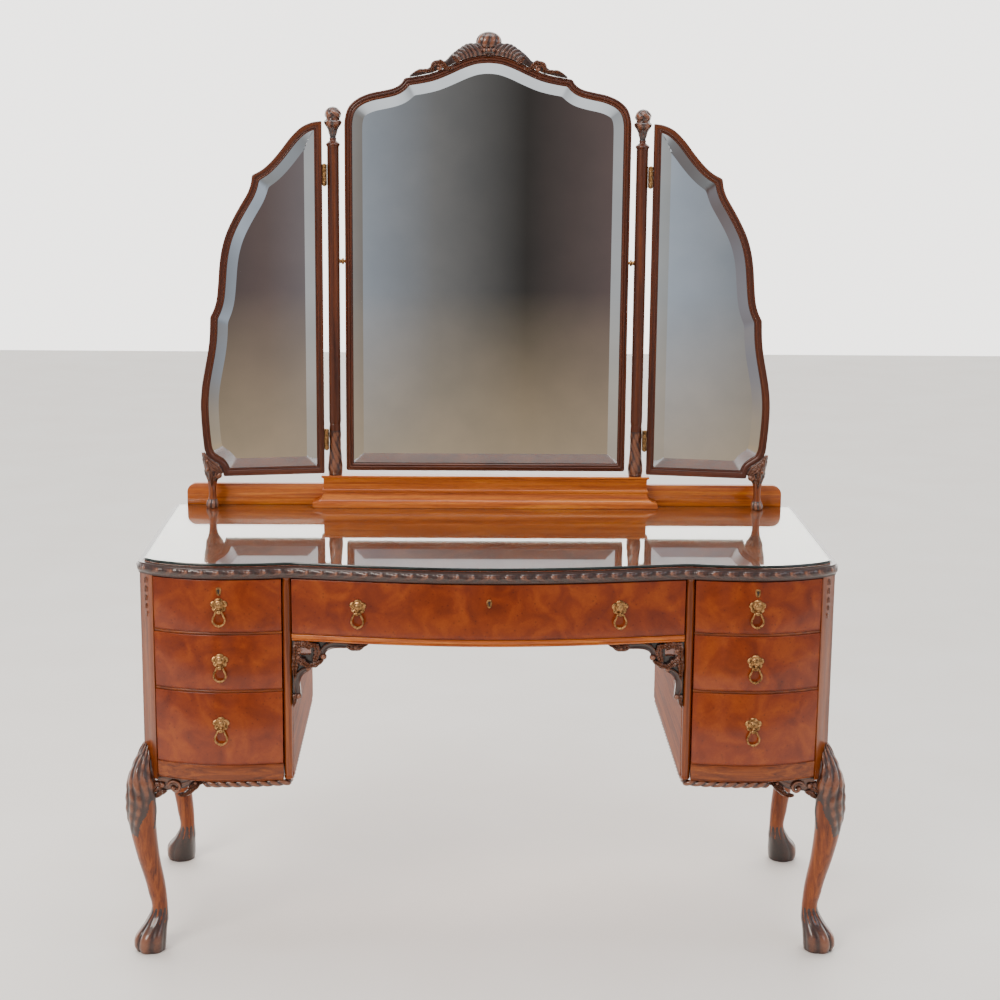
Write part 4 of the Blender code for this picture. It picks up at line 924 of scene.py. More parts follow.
# %% The limb of a leg
# height, how far the middle line stands outwards of the ankle's own line, and radius, sole to carcass
LEG_KNOTS = [(0.0, 0.027, 0.0290), (0.012, 0.028, 0.0318), (0.036, 0.023, 0.0292), (0.055, 0.013, 0.0225),
             (0.075, 0.0055, 0.0170), (0.12, 0.010, 0.0182), (0.20, 0.029, 0.0222), (0.262, 0.040, 0.0262),
             (0.310, 0.0440, 0.0300), (0.345, 0.0425, 0.0292), (0.372, 0.039, 0.0260), (0.404, 0.033, 0.0180),
             (0.436, 0.024, 0.0085)]
LEG_HEIGHTS, LEG_OUTWARD, LEG_RADIUS = [list(run) for run in zip(*LEG_KNOTS)]
DIAGONAL = np.array([1.0, -1.0]) / math.sqrt(2)
TOES = 4


def limb(ankle_x, ankle_y, facing):
    """The leg as a tube: lobes of |cos| push out toes at its foot and leaves at its knee, and fade out."""
    rows, steps = 150, 72
    z = np.linspace(0.0, LEG_HEIGHTS[-1], rows)
    outward_line = smooth_between(z, LEG_HEIGHTS, LEG_OUTWARD)
    radius = smooth_between(z, LEG_HEIGHTS, LEG_RADIUS)[:, None]
    turn = angles(steps, -np.pi)
    front = np.clip(np.cos(turn), 0, 1)
    height = z[:, None]
    toe = np.abs(np.cos(TOES * turn * 0.86 + np.pi / 2)) ** 0.6 * np.clip(np.cos(turn * 0.62), 0, 1)
    in_paw = np.clip(1 - np.abs(height - 0.020) / 0.036, 0, 1) ** 0.5
    knuckle = np.exp(-((height - 0.030) / 0.010) ** 2) + 0.6 * np.exp(-((height - 0.008) / 0.007) ** 2)
    fur = np.clip(1 - np.abs(height - 0.062) / 0.026, 0, 1) * (0.5 + 0.5 * np.cos(11 * turn + 60 * height))
    fringe = 0.012 * np.abs(np.cos(3.5 * turn))
    in_knee = np.clip((height - 0.238 - 0.072 * (1 - front) - fringe) / 0.03, 0, 1)
    fold = np.abs(np.cos(5.5 * turn + 1.5 * np.sin(height * 44))) ** 0.8
    cross = 0.5 + 0.5 * np.cos(height * 260 + 4 * np.abs(turn))
    brow = np.exp(-((height - 0.356 - 0.010 * front) / 0.009) ** 2)
    carving = np.clip(in_knee * (0.62 * fold + 0.38 * cross * fold) + 0.5 * brow, 0, 1)
    bend = -1.95 - 0.30 * np.cos((height - 0.300) / 0.036 * np.pi / 2)
    cord = np.exp(-((turn - bend) / 0.10) ** 2) * np.clip(1 - np.abs(height - 0.300) / 0.038, 0, 1) ** 0.3
    push = (4.6 * toe * in_paw + 1.8 * knuckle * toe + 1.0 * fur + 3.6 * carving + 2.2 * cord) * MM
    reach = radius - 2.4 * MM * np.clip(in_paw + in_knee, 0, 1) + push
    along = outward_line[:, None] + reach * np.cos(turn)
    over = reach * np.sin(turn)
    x = ankle_x + DIAGONAL[0] * along + DIAGONAL[0] * over
    y = ankle_y + facing * (abs(DIAGONAL[1]) * along - abs(DIAGONAL[1]) * over)
    relief = np.clip(0.15 + 0.75 * np.maximum(toe * in_paw, carving) + 0.4 * fur + 0.25 * knuckle * toe, 0, 1)
    dark = np.clip(np.maximum(np.maximum(in_paw, fur * 1.2), np.maximum(in_knee, cord)) * 4, 0, 1)
    return grid(np.stack([x, y, height + 0 * x], -1), round_cols=True, caps=True, relief=relief), dark


def carved_limb(ankle_x, ankle_y, facing):
    """The limb in two finishes: faces in the paw and over the knee's leaves are carved, the rest is plain."""
    part, dark = limb(ankle_x, ankle_y, facing)
    return in_two(part, dark, plain_ends=1)


# %% Ears, husks and stiles
STILE_BACK = 0.045
EAR_LOWER = 6 * MM              # an ear's own zero line, below the carcass


def ear(corner_x, face_y, top, facing, along):
    """Leaf, C-scroll and small leaf of one ear, from the knee along the edge of the carcass."""
    along = np.array(along, float)
    out = np.array(facing, float)

    def at(distance, drop, stand=0.0):
        start = np.array([corner_x, face_y, top - EAR_LOWER])
        return start + along * (distance * MM) - np.array([0, 0, drop * MM]) + out * (stand * MM)

    def lying(places, widths, lift, lobes=3, stand=0.0):
        raised = [(distance, drop, stand) for distance, drop in places]
        return strip(at, raised, widths, lift, out, lobes, 7 + stand)

    run = [lying([(-16, 26), (-2, 16), (12, 12)], [7, 11, 4], 6),
           lying([(-4, 8), (18, 9), (44, 8), (74, 0)], [12, 17, 14, 5], 1.5, 2, -2),
           lying([(-8, 40), (2, 30), (14, 26)], [3, 7, 3], 4, 2, 0),
           lying([(36, 35), (50, 33.5), (67, 22), (80, 10), (104, 3)], [2, 4.6, 5.6, 4.4, 0.8], 5, 4, 1),
           lying([(56, 22), (67, 12), (78, 4)], [2, 4.5, 1.5], 4, 2, 2),
           scroll(at(30, 18, 2), 14.5 * MM, 150, -340, 3.4 * MM, along, [0, 0, 1])]
    balls = [(27, 20, 1, 5.4, 5.4), (6, 13, 2, 5.4, 5.0), (71, 8, 3, 3.8, 3.8)]
    return run + [button(at(*place), radius * MM, tall * MM, out) for *place, radius, tall in balls]


def husk(centre_x, face, top, direction):
    """A hanging drop of carving: four husks and a bud, each smaller than the one above."""
    run = []
    across = np.array([-direction[1], direction[0], 0.0])
    drops = [(0.012, 15, 5.0), (0.030, 15, 4.2), (0.048, 14, 3.6), (0.064, 12, 3.0)]
    base = np.array([centre_x, face, 0.0])
    for drop, long, wide in drops:
        for lean in (-0.45, 0.45):
            head = base + [0, 0, top - drop + long * 0.5 * MM] + across * lean * wide * MM * 0.4
            tail = base + [0, 0, top - drop - long * 0.5 * MM] + across * lean * wide * MM * 1.5
            run.append(leaf([head, (head + tail) / 2 + across * lean * 1.5 * MM, tail],
                            [0.8 * MM, wide * 0.55 * MM, 0.5 * MM], 2.2 * MM, direction, veins=1, lobes=1,
                            thick=1 * MM, rows=16))
    run.append(button(base + [0, 0, top - 0.078], 3.4 * MM, 3.2 * MM, direction))
    run.append(button(base + [0, 0, top - 0.084], 2.2 * MM, 2.2 * MM, direction))
    return run


def stile(side, rear):
    """The corner post above the knee as a plate from its plan: canted in front, square behind."""
    shoulder = CORNER_SHARE * CARCASS_OUT
    if rear:
        y0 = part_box("right_outer_side")[1].y + 0.3 * MM
        outline = [(STILE_IN, y0), (CARCASS_HALF, y0), (CARCASS_HALF, CARCASS_BACK), (STILE_IN, CARCASS_BACK)]
    else:
        outline = [(STILE_IN, float(front_line(STILE_IN, CARCASS_OUT))),
                   (CANT_X + shoulder, float(front_line(CANT_X, CARCASS_OUT))),
                   (CARCASS_HALF, SHIFT - shoulder), (CARCASS_HALF, SHIFT + STILE_BACK),
                   (STILE_IN, SHIFT + STILE_BACK)]
    foot = PLINTH_FOOT - 6 * MM
    levels = [(0.6 * MM, foot), (0, foot + 1 * MM), (0, CARCASS_TOP)]
    return moved(plate(np.array(outline), levels), side=side)


ANKLE_IN, REAR_OUT = 0.0223, 0.004              # ankle line inside the carcass's face; rear ones stand wider
FRONT_ANKLE, REAR_ANKLE = 0.0173, 0.4657        # ankle lines behind the glass's front corners
REAR_EAR = 0.455                                # a rear leg's side ear starts here


def leg(name, side, rear):
    """A limb, the stile over it, an ear on each face of the corner, and in front a husk on the cant."""
    facing = 1.0 if rear else -1.0
    ankle_x = CARCASS_HALF - ANKLE_IN + (REAR_OUT if rear else 0.0)
    ankle_y = SHIFT + (REAR_ANKLE if rear else FRONT_ANKLE)
    parts = [moved(part, side=side) for part in carved_limb(ankle_x, ankle_y, facing)]
    parts.append(stile(side, rear))
    top = PLINTH_FOOT - 0.3 * MM
    face_y = CARCASS_BACK - 6 * MM if rear else float(front_line(STILE_IN, CARCASS_OUT)) + 6 * MM
    carvings = ear(STILE_IN - 2 * MM, face_y, top, (0, facing, 0), (-1, 0, 0))
    side_y = SHIFT + (REAR_EAR if rear else STILE_BACK + 4 * MM)
    carvings += ear(CARCASS_HALF - 8 * MM, side_y, top, (1, 0, 0), (0, -facing, 0))
    if not rear:
        cant = np.array([0.6, -0.8, 0.0])
        middle_x = (CANT_X + CARCASS_HALF) / 2 + 1 * MM
        cant_ends = (float(front_line(CANT_X, CARCASS_OUT)), SHIFT - CORNER_SHARE * CARCASS_OUT)
        carvings += husk(middle_x, sum(cant_ends) / 2 + 0.5 * MM, CARCASS_TOP, cant)
    for part in carvings:
        part["finish"] = 1
    parts += [moved(part, side=side) for part in carvings]
    piece(name + "_carved", "table", parts, [walnut_upright, carved], [name], crease=50)


for word, side in SIDES:
    leg("front_%s_leg" % word, side, False)
    leg("rear_%s_leg" % word, side, True)

# %% [markdown]
# ## The stand of the mirrors
# A low gallery board closes the back of the top, and a moulded base in front of it carries two posts.
# The base has a cove under a bead, so its outline, a rectangle, is stacked at many heights and drawn
# in by the moulding's section. The posts are turned, with leaves carved round the foot and the finial:
# a turned profile whose radius also waves with the angle.

# %% Base and gallery
def mirror_base():
    """A rectangle stacked at the heights of its moulding, drawn in at the front and the two ends."""
    foot, top = BASE_LOW.z, BASE_HIGH.z
    # height, and how far the section is drawn in as a share of the whole step; the cove's is over the glass
    cove = [(9, 0.0), (11, 0.06), (12, 0.22), (14, 0.50), (18, 0.74), (24, 0.90), (30, 0.97), (32, 0.98),
            (33, 0.90), (35.5, 0.86), (38, 0.90), (39, 1.0)]
    cap = [(7, 1.0), (5, 0.90), (4, 0.80), (1, 0.80), (0, 0.84)]
    section = [(foot, 0.04), (foot + 1 * MM, 0.0)]
    section += [(TABLE_HEIGHT + rise * MM, share) for rise, share in cove]
    section += [(top - drop * MM, share) for drop, share in cap]
    step_end, step_front = 23.5 * MM, 11.0 * MM
    rings = []
    for _, share in section:
        x, y = BASE_HIGH.x - step_end * share, BASE_LOW.y + step_front * share
        rings.append(np.array([[-x, y], [x, y], [x, BASE_HIGH.y], [-x, BASE_HIGH.y]]))
    part = plate(rings[0], [(0, z) for z, _ in section], drawn=rings)
    piece("moulded_mirror_base", "table", [part], [walnut_across], ["mirror_base"], crease=30)


def gallery():
    """The low board along the back, with its two upper corners rounded off."""
    low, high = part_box("gallery_board")
    curl = 0.020
    turn = np.linspace(0, np.pi / 2, 14)
    end = np.column_stack([high.x - curl + curl * np.sin(turn), high.z - curl + curl * np.cos(turn)])
    outline = np.vstack([[[high.x, low.z], [-high.x, low.z]], end[::-1] * [-1, 1], end])
    levels = [(1.2 * MM, low.y), (0.3 * MM, low.y + 0.5 * MM), (0, low.y + 1.4 * MM), (0, high.y - 1.4 * MM),
              (1.2 * MM, high.y)]
    part = plate(outline, levels, "upright")
    piece("gallery", "table", [part], [walnut_across], ["gallery_board"])


mirror_base()
gallery()

# %% Posts with carved finials
def post(name):
    """Radius by height from knots; the ball, the calyx under it and the foot wave with the angle as leaves."""
    low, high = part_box(name)
    x, y = (low.x + high.x) / 2, (low.y + high.y) / 2
    tip, foot = high.z, low.z
    r = 12.8
    # mm below the tip and radius in mm, over the finial, then mm above the foot and radius, over the foot
    finial = [(0, 0.3), (1, 5.5), (6, 13.0), (13, 17.0), (20, 16.8), (25, 14.6), (27, 14.8), (32, 18.2),
              (37, 16.6), (44, 11.8), (56, 8.0), (64, 6.6), (67, 7.8), (69, 6.8), (71, 7.6), (74, 11.0),
              (77, 14.6), (80, 15.0), (83, 13.0), (86, r), (90, r), (96, r), (110, r)]
    base = [(150, r), (130, r), (118, r), (112, r - 0.9), (106, r - 0.4), (60, r - 0.4), (30, 14.6),
            (12, 16.0), (3, 14.6), (0, 14.2)]
    foot_mm = (tip - foot) / MM
    down = [drop for drop, _ in finial] + [foot_mm - rise for rise, _ in base]
    radii = [radius for _, radius in finial + base]
    at = np.unique(np.concatenate([np.linspace(0, 92, 120), np.linspace(92, foot_mm - 124, 6),
                                   np.linspace(foot_mm - 124, foot_mm, 90)]))
    radius = np.interp(at, down, radii) * 0.35 + smooth_between(at, down, radii) * 0.65
    turn = angles(64)
    t = at[:, None]
    flutes = np.abs(np.cos(2.5 * turn + 0.9 * np.sin(t / 4.0))) ** 0.7
    ball = np.clip(1 - np.abs(t - 14) / 14, 0, 1) ** 0.4 * flutes
    calyx = np.clip(1 - np.abs(t - 36) / 12, 0, 1) ** 0.5 * np.abs(np.cos(3 * turn)) ** 0.7
    stem = np.clip(1 - np.abs(t - 54) / 10, 0, 1) * np.abs(np.cos(4 * turn))
    up = foot_mm - t
    lower = np.clip((104 - up) / 12, 0, 1) * np.clip(up / 4, 0, 1)
    leaves = lower * (0.55 * np.abs(np.cos(2 * turn + 0.7 * np.sin(up / 9))) ** 0.8
                      + 0.45 * np.abs(np.cos(4 * turn + up / 7)) ** 0.6)
    carving = np.clip(ball + calyx + 0.7 * stem + leaves, 0, 1)
    is_carved = np.clip(0.0 + (t < 66) + (lower > 0.4), 0, 1) + 0 * turn
    reach = (radius[:, None] + 2.4 * ball + 2.2 * calyx + 0.9 * stem + 2.0 * leaves
             - 1.6 * (t < 28) - 1.3 * np.clip(1 - np.abs(t - 36) / 12, 0, 1) - 1.6 * lower) * MM
    reach = np.maximum(reach, 0.2 * MM)
    points = np.stack([x + reach * np.cos(turn), y + reach * np.sin(turn), tip - t * MM + 0 * turn], -1)
    part = grid(points, round_cols=True, caps=True, relief=0.1 + 0.9 * carving)
    piece(name + "_turned", "table", in_two(part, is_carved), [walnut_post, carved], [name],
          crease=55)


post("left_post")
post("right_post")

# %% Pivots and hinges
POST_Y = (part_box("left_post")[0].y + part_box("left_post")[1].y) / 2
LAID_ALONG_X = [[0, 0, 1], [0, 1, 0], [-1, 0, 0]]           # turns an upright turning's height into x

for word, side in SIDES:
    low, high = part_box(word + "_pivot")
    inner, outer = (low.x, high.x) if side > 0 else (-high.x, -low.x)
    z = (low.z + high.z) / 2
    length = outer - inner
    # radius in mm, and share of the length
    shape = [(3.4, 0), (3.4, 0.50), (6.4, 0.53), (6.8, 0.56), (6.8, 0.72), (6.2, 0.76), (4.0, 0.80),
             (4.6, 0.9), (4.6, 1)]
    shape = [(radius * MM, length * share) for radius, share in shape]
    rod = moved(turned(shape, 0, 0, 28), (side * inner, POST_Y, z), LAID_ALONG_X, side)
    piece(word + "_pivot_screw", "table", [rod], [brass], [word + "_pivot"])


def hinge(name, side):
    """A butt hinge: a barrel of five knuckles with ball tips, and a leaf against the post."""
    low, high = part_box(name)
    r = 3.5 * MM
    x, y = (high.x - r, low.y + r) if side > 0 else (low.x + r, low.y + r)
    tall = high.z - low.z
    t = np.linspace(0, 1, 81)
    dip = np.exp(-((((t * 5) % 1.0) - np.where((t * 5) % 1.0 > 0.5, 1, 0)) / 0.05) ** 2)
    dome = np.sqrt(np.clip(1 - ((np.abs(t - 0.5) - 0.46).clip(0) / 0.04) ** 2, 0.01, 1))
    barrel = turned(np.column_stack([(r - 0.7 * MM * dip) * dome, low.z + t * tall]), x, y, 24)
    near, far = (low.x, low.x + 1.7 * MM) if side > 0 else (high.x - 1.7 * MM, high.x)
    leaf_board = board((near, y + 1 * MM, low.z + 2 * MM), (far, high.y, high.z - 2 * MM), 0.3 * MM)
    piece(name + "_barrel", "table", [barrel, leaf_board], [brass], [name])
    return x, y, (low.z + high.z) / 2, tall


HINGES = {name: hinge(name, side) for word, side in SIDES
          for name in (word + "_lower_hinge", word + "_upper_hinge")}

# %% [markdown]
# ## Frames and mirrors
# Each mirror is a plate with a wide ground bevel in a thin moulded frame of walnut. The frames were
# shaped with a spindle along a sawn outline, so here too one section follows one outline. Drawing an
# outline in by 40 mm would make it cross itself at the cusps; it is drawn in a millimetre at a time
# instead and its points are spread evenly again each time, which keeps every ring clean.

# %% Outlines drawn in step by step
MIRROR_HALF = 0.303
# Right half of the arch, shoulder to crown: share of the half width, height over the glass. None is a corner.
ARCH = [(1, 0.801), (0.9974, 0.829), (0.9719, 0.855), (0.9109, 0.873), (0.8251, 0.8845), (0.7327, 0.8905),
        (0.6535, 0.8965), (0.6056, 0.9055), (0.5809, 0.917), None, (0.495, 0.9205), (0.3894, 0.9275),
        (0.2904, 0.9395), (0.1914, 0.953), (0.0957, 0.9625), (0.0, 0.9655)]
# The carved crest's upper edge, in the same way.
CREST = [(0.546, 0.9215), (0.528, 0.9265), (0.482, 0.935), (0.419, 0.937), (0.366, 0.952), (0.300, 0.953),
         (0.261, 0.965), (0.205, 0.978), (0.1485, 0.988), (0.109, 0.989), (0.0, 0.989)]
WING_WIDTH, STILE_GAP, WING_REST = 0.264, 0.0045, math.radians(5.0)
# A wing, crown to foot: share of its width from the hinge edge, height over the glass.
WING = [(0.0, 0.827), (0.0833, 0.8235), (0.1667, 0.813), (0.25, 0.792), (0.3333, 0.764), (0.4091, 0.741),
        (0.4811, 0.7245), (0.5587, 0.7135), None, (0.5701, 0.695), (0.5985, 0.675), (0.6553, 0.65),
        (0.7197, 0.62), (0.7727, 0.59), (0.8087, 0.558), (0.8295, 0.524), (0.8409, 0.489), (0.8561, 0.453),
        (0.8807, 0.4305), (0.911, 0.4145), None, (0.9186, 0.3725), (0.9356, 0.339), (0.9621, 0.303),
        (0.9848, 0.271), (0.9981, 0.239), (1, 0.209), (0.9924, 0.169), (0.9792, 0.129), None, (0.947, 0.11),
        (0.8939, 0.1), (0.8447, 0.09), (0.8239, 0.0695), None, (0.0, 0.0735)]
MIRROR_FOOT = 0.080


def sawn_line(points, fine=10):
    """A smooth line through points with a corner at each None: Catmull-Rom curves between the corners."""
    runs = [[]]
    for point in points:
        if point is None:
            runs.append([runs[-1][-1]])
        else:
            runs[-1].append(point)
    line = []
    for run in runs:
        p = np.array(run, float)
        p = np.vstack([2 * p[0] - p[1], p, 2 * p[-1] - p[-2]])
        t = np.linspace(0, 1, fine + 1)[:-1, None]
        for k in range(1, len(p) - 2):
            a, b, c, d = p[k - 1:k + 3]
            line.append(0.5 * (2 * b + (c - a) * t + (2 * a - 5 * b + 4 * c - d) * t ** 2
                               + (3 * b - a - 3 * c + d) * t ** 3))
        line.append(p[-2:-1])
    return np.vstack(line)


def drawn_in(outline, depths, step=1 * MM):
    """The outline at each depth: moved inwards by small steps, its points spread evenly after every step.

    A point that ends nearer to the outline than the depth has crossed a corner, and is left out. Each step
    also draws a point a sixth of the way to its neighbours' mean, which stops ripples from growing.
    """
    area = np.sum(outline[:, 0] * np.roll(outline[:, 1], -1) - np.roll(outline[:, 0], -1) * outline[:, 1])
    inwards = -1.0 if area > 0 else 1.0
    rings, ring, reached = [], outline, 0.0
    for depth in depths:
        while reached < depth - 1e-9:
            move = min(step, depth - reached)
            mean = (np.roll(ring, 1, 0) + np.roll(ring, -1, 0)) / 2
            ring = ring + (mean - ring) / 6 * (move / step) + inwards * outward(ring, closed=True) * move
            apart = np.linalg.norm(ring[:, None, :] - outline[None, :, :], axis=-1).min(axis=1)
            kept = ring[apart > (reached + move) * 0.93 - 0.3 * MM]
            closed = np.vstack([kept, kept[:1]])
            lengths = run_of(closed)
            at = np.linspace(0, lengths[-1], len(outline) + 1)[:-1]
            ring = np.stack([np.interp(at, lengths, closed[:, k]) for k in (0, 1)], -1)
            reached += move
        rings.append(ring)
    return rings


def upright_rings(outline, section):
    """A closed section of (depth in from the outline, y), carried round it; depths may go back out."""
    order = np.argsort([depth for depth, _ in section], kind="stable")
    drawn = drawn_in(outline, [section[k][0] for k in order])
    rows = np.empty((len(section), len(outline), 3))
    for ring, k in zip(drawn, order):
        rows[k] = np.column_stack([ring[:, 0], np.full(len(ring), section[k][1]), ring[:, 1]])
    return grid(rows.transpose(1, 0, 2), round_rows=True, round_cols=True)


# %% A framed mirror
FRAME_W, REBATE, LIP, PLATE_THICK, BEVEL = 16.0, 5.0, 5.0, 6.0, 22.0        # mm
GROUND_OFF = 2.2 * MM                                                       # taken off the plate's edge


def rebate(front, back):
    """The last points of a frame's section: the step that holds the glass, and the inner back edge."""
    inner = (FRAME_W - REBATE) * MM
    return [(FRAME_W * MM, front + LIP * MM), (inner, front + LIP * MM), (inner, back)]


def reeded(front, back):
    """Three reeds across the face of the frame, each a half round, then a step down to the glass."""
    section = [(0.0, back), (0.0, front + 6 * MM), (0.3 * MM, front + 3.2 * MM)]
    for start, wide, sink in ((0.6, 4.2, 1.6), (5.0, 5.4, 0.2), (10.6, 4.0, 1.4)):
        turn = np.linspace(0.12, np.pi - 0.12, 8)
        middle, half = start + wide / 2, wide / 2
        section += [((middle - half * np.cos(a)) * MM, front + (sink + half * 0.75 * (1 - np.sin(a))) * MM)
                    for a in turn]
    return section + [(15.2 * MM, front + 3.4 * MM), (FRAME_W * MM, front + 3.8 * MM)] + rebate(front, back)


def ovolo(front, back):
    """A quarter round that falls from the outer edge towards the glass, between two small fillets."""
    turn = np.linspace(0.0, np.pi / 2, 9)
    section = [(0.0, back), (0.0, front + 2.0 * MM), (0.5 * MM, front + 0.6 * MM), (1.6 * MM, front)]
    section += [((2.6 + 10.2 * np.sin(a)) * MM, front + (0.5 + 3.2 * (1 - np.cos(a))) * MM) for a in turn]
    section += [(13.6 * MM, front + 3.2 * MM), (15.2 * MM, front + 3.4 * MM)]
    return section + [(FRAME_W * MM, front + 4.0 * MM)] + rebate(front, back)


def framed_mirror(name, body, outline, front, back, moulding, offset, turn, side, nodes):
    """A frame, its back board and its bevelled plate, placed on the hinge line or the pivot line."""
    frame_part = upright_rings(outline, moulding(front, back))
    lip = front + LIP * MM
    inner = drawn_in(outline, [(FRAME_W - REBATE - 0.2) * MM])[0]
    behind = [(0, lip + (PLATE_THICK + 0.6) * MM), (0, back - 1 * MM), (0.8 * MM, back - 0.2 * MM)]
    rear = {**plate(inner, behind, "upright"), "finish": 1}
    frame_parts = [moved(part, offset, turn, side) for part in (frame_part, rear)]
    piece(name + "_moulded_frame", body, frame_parts, [walnut_moulding, walnut_upright], [nodes[0]],
          crease=42)
    edge, ground = (FRAME_W - REBATE + 0.5) * MM, (FRAME_W + BEVEL) * MM
    depths = np.linspace(edge, ground, 12)
    levels = [(edge, lip + (0.3 + PLATE_THICK) * MM)]
    levels += [(depth, lip + 0.3 * MM + GROUND_OFF * (ground - depth) / (ground - edge)) for depth in depths]
    rings = drawn_in(outline, depths)
    silver = plate(outline, levels, "upright", drawn=rings[:1] + rings)
    piece(name + "_bevelled_plate", body, [moved(silver, offset, turn, side)], [mirror],
          [nodes[1]], crease=2)


# %% The centre mirror
arch_half = sawn_line([point and (point[0] * MIRROR_HALF, TABLE_HEIGHT + point[1]) for point in ARCH])
half = np.vstack([[0.0, TABLE_HEIGHT + MIRROR_FOOT], [MIRROR_HALF, TABLE_HEIGHT + MIRROR_FOOT], arch_half])
whole = np.vstack([half, half[-2:0:-1] * [-1, 1], half[:1] * [-1, 1]])
centre_outline = softened(even_steps(whole, 2.5 * MM), 2)[:-1]
CENTRE_LOW, CENTRE_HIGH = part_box("centre_mirror_frame")
framed_mirror("centre_mirror", "centre_mirror", centre_outline, CENTRE_LOW.y, CENTRE_HIGH.y, reeded,
              (0, 0, 0), None, 1, ["centre_mirror_frame", "centre_mirror_glass"])

# %% The wings
HINGE_X, HINGE_Y = HINGES["right_lower_hinge"][:2]
wing_points = [point and (STILE_GAP + point[0] * WING_WIDTH, TABLE_HEIGHT + point[1]) for point in WING]
halfway_up = np.array([[STILE_GAP, TABLE_HEIGHT + 0.45]])
wing_whole = np.vstack([halfway_up, sawn_line(wing_points), halfway_up])
wing_outline = softened(even_steps(wing_whole, 2.5 * MM), 1)[:-1]
WING_FRONT = POST_Y - 10 * MM - HINGE_Y
WING_THICK = 18 * MM
c, s = math.cos(-WING_REST), math.sin(-WING_REST)
WING_TURN = [[c, -s, 0], [s, c, 0], [0, 0, 1]]


def on_wing(parts, side):
    """Parts drawn from the hinge line at the origin, turned with the wing and put on its own side."""
    return [moved(part, (side * HINGE_X, HINGE_Y, 0), WING_TURN, side) for part in parts]


for word, side in SIDES:
    framed_mirror(word + "_wing", word + "_wing", wing_outline, WING_FRONT, WING_FRONT + WING_THICK, ovolo,
                  (side * HINGE_X, HINGE_Y, 0), WING_TURN, side, [word + "_wing_frame", word + "_wing_glass"])
    for level in ("lower", "upper"):
        _, _, z, tall = HINGES["%s_%s_hinge" % (word, level)]
        half_tall = tall / 2 - 2 * MM
        flap_back = WING_FRONT + WING_THICK - 3 * MM
        flap = board((2.6 * MM, 1 * MM, z - half_tall), (4.3 * MM, flap_back, z + half_tall), 0.3 * MM)
        piece("%s_%s_hinge_flap" % (word, level), word + "_wing", on_wing([flap], side), [brass])

# %% [markdown]
# ## Drop pulls and keyholes
# The eight pulls are cast brass: a plate of five petals round a boss, an eye under the boss, and a
# pear-shaped ring that swings on a pin through the eye. Castings like these came from a pattern pressed
# in sand, so all eight are the same shape here too, each turned to face out of its curved drawer. Three
# drawers lock, and their keyholes have a thin brass rim.

# %% Plates, rings and keyholes
PIN_OUT, PIN_DROP = 6.6 * MM, 12.5 * MM         # the ring's pin, in front of the drawer and below the plate
PLATE_HALF = (15.5 * MM, 13.2 * MM)
RING_R, RING_DROP = 11.8 * MM, 15.8 * MM
LOCK_RISE = 27 * MM                              # a keyhole over its plate's middle


def facing_out(x):
    """The matrix that turns a part about an upright line until it faces squarely out of the front at x."""
    rise = float(front_line(x + 1 * MM, CARCASS_OUT) - front_line(x - 1 * MM, CARCASS_OUT)) / (2 * MM)
    c, s = 1 / math.hypot(1, rise), rise / math.hypot(1, rise)
    return [[c, -s, 0], [s, c, 0], [0, 0, 1]]


def rosette():
    """Rings that shrink from the petals' edge to the boss; each petal is a dome with a rib on it."""
    turn = angles(100)
    petal = np.abs(np.cos(2.5 * (turn - np.pi / 2)))
    edge_x = PLATE_HALF[0] * (0.86 + 0.24 * petal ** 0.8) * np.cos(turn)
    edge_z = PLATE_HALF[1] * (0.86 + 0.24 * petal ** 0.8) * np.sin(turn)
    share = np.array([0.97, 1.0, 0.99, 0.95, 0.90, 0.84, 0.77, 0.70, 0.64, 0.60])[:, None]
    dome = np.array([0.0, 0.4, 0.9, 1.4, 1.9, 2.3, 2.4, 2.1, 1.6, 1.3])[:, None]
    rib = 0.7 * np.exp(-((1 - petal) / 0.03) ** 2) * (share < 0.96)
    stand = (dome * (0.45 + 0.55 * petal ** 0.6) + rib) * MM
    petals = np.stack([edge_x * share, -stand, edge_z * share], -1)
    boss = np.array([(8.7, 1.5), (8.9, 2.4), (8.4, 3.0), (7.2, 3.4), (6.0, 4.0), (5.4, 4.9), (5.5, 5.8),
                     (6.0, 6.6), (6.0, 7.4), (5.5, 8.3), (4.5, 9.1), (3.0, 9.7), (1.4, 10.0),
                     (0.2, 10.05)]) * MM
    radius, out = boss[:, :1], boss[:, 1:]
    knob = np.stack([radius * np.cos(turn), -out + 0 * turn, radius * np.sin(turn) + 1 * MM], -1)
    return grid(np.concatenate([petals, knob]), round_cols=True, caps=True)


def eye_and_lug():
    """A short tube with a hole for the pin, and the lug that joins it to the boss."""
    rim = np.array([(-3.5, 2.2), (-3.5, 3.5), (-3.0, 4.0), (3.0, 4.0), (3.5, 3.5), (3.5, 2.2), (3.3, 2.0),
                    (-3.3, 2.0)])
    turn = angles(28)
    x, r = rim[:, :1] * MM, rim[:, 1:] * MM
    tube = grid(np.stack([x + 0 * turn, -PIN_OUT + r * np.cos(turn), -PIN_DROP + r * np.sin(turn)], -1),
                round_rows=True, round_cols=True)
    lug = turned([(2.6 * MM, -9.4 * MM), (2.2 * MM, -7.5 * MM), (2.9 * MM, -3.5 * MM)], 0, -5.6 * MM, 16)
    return [tube, lug]


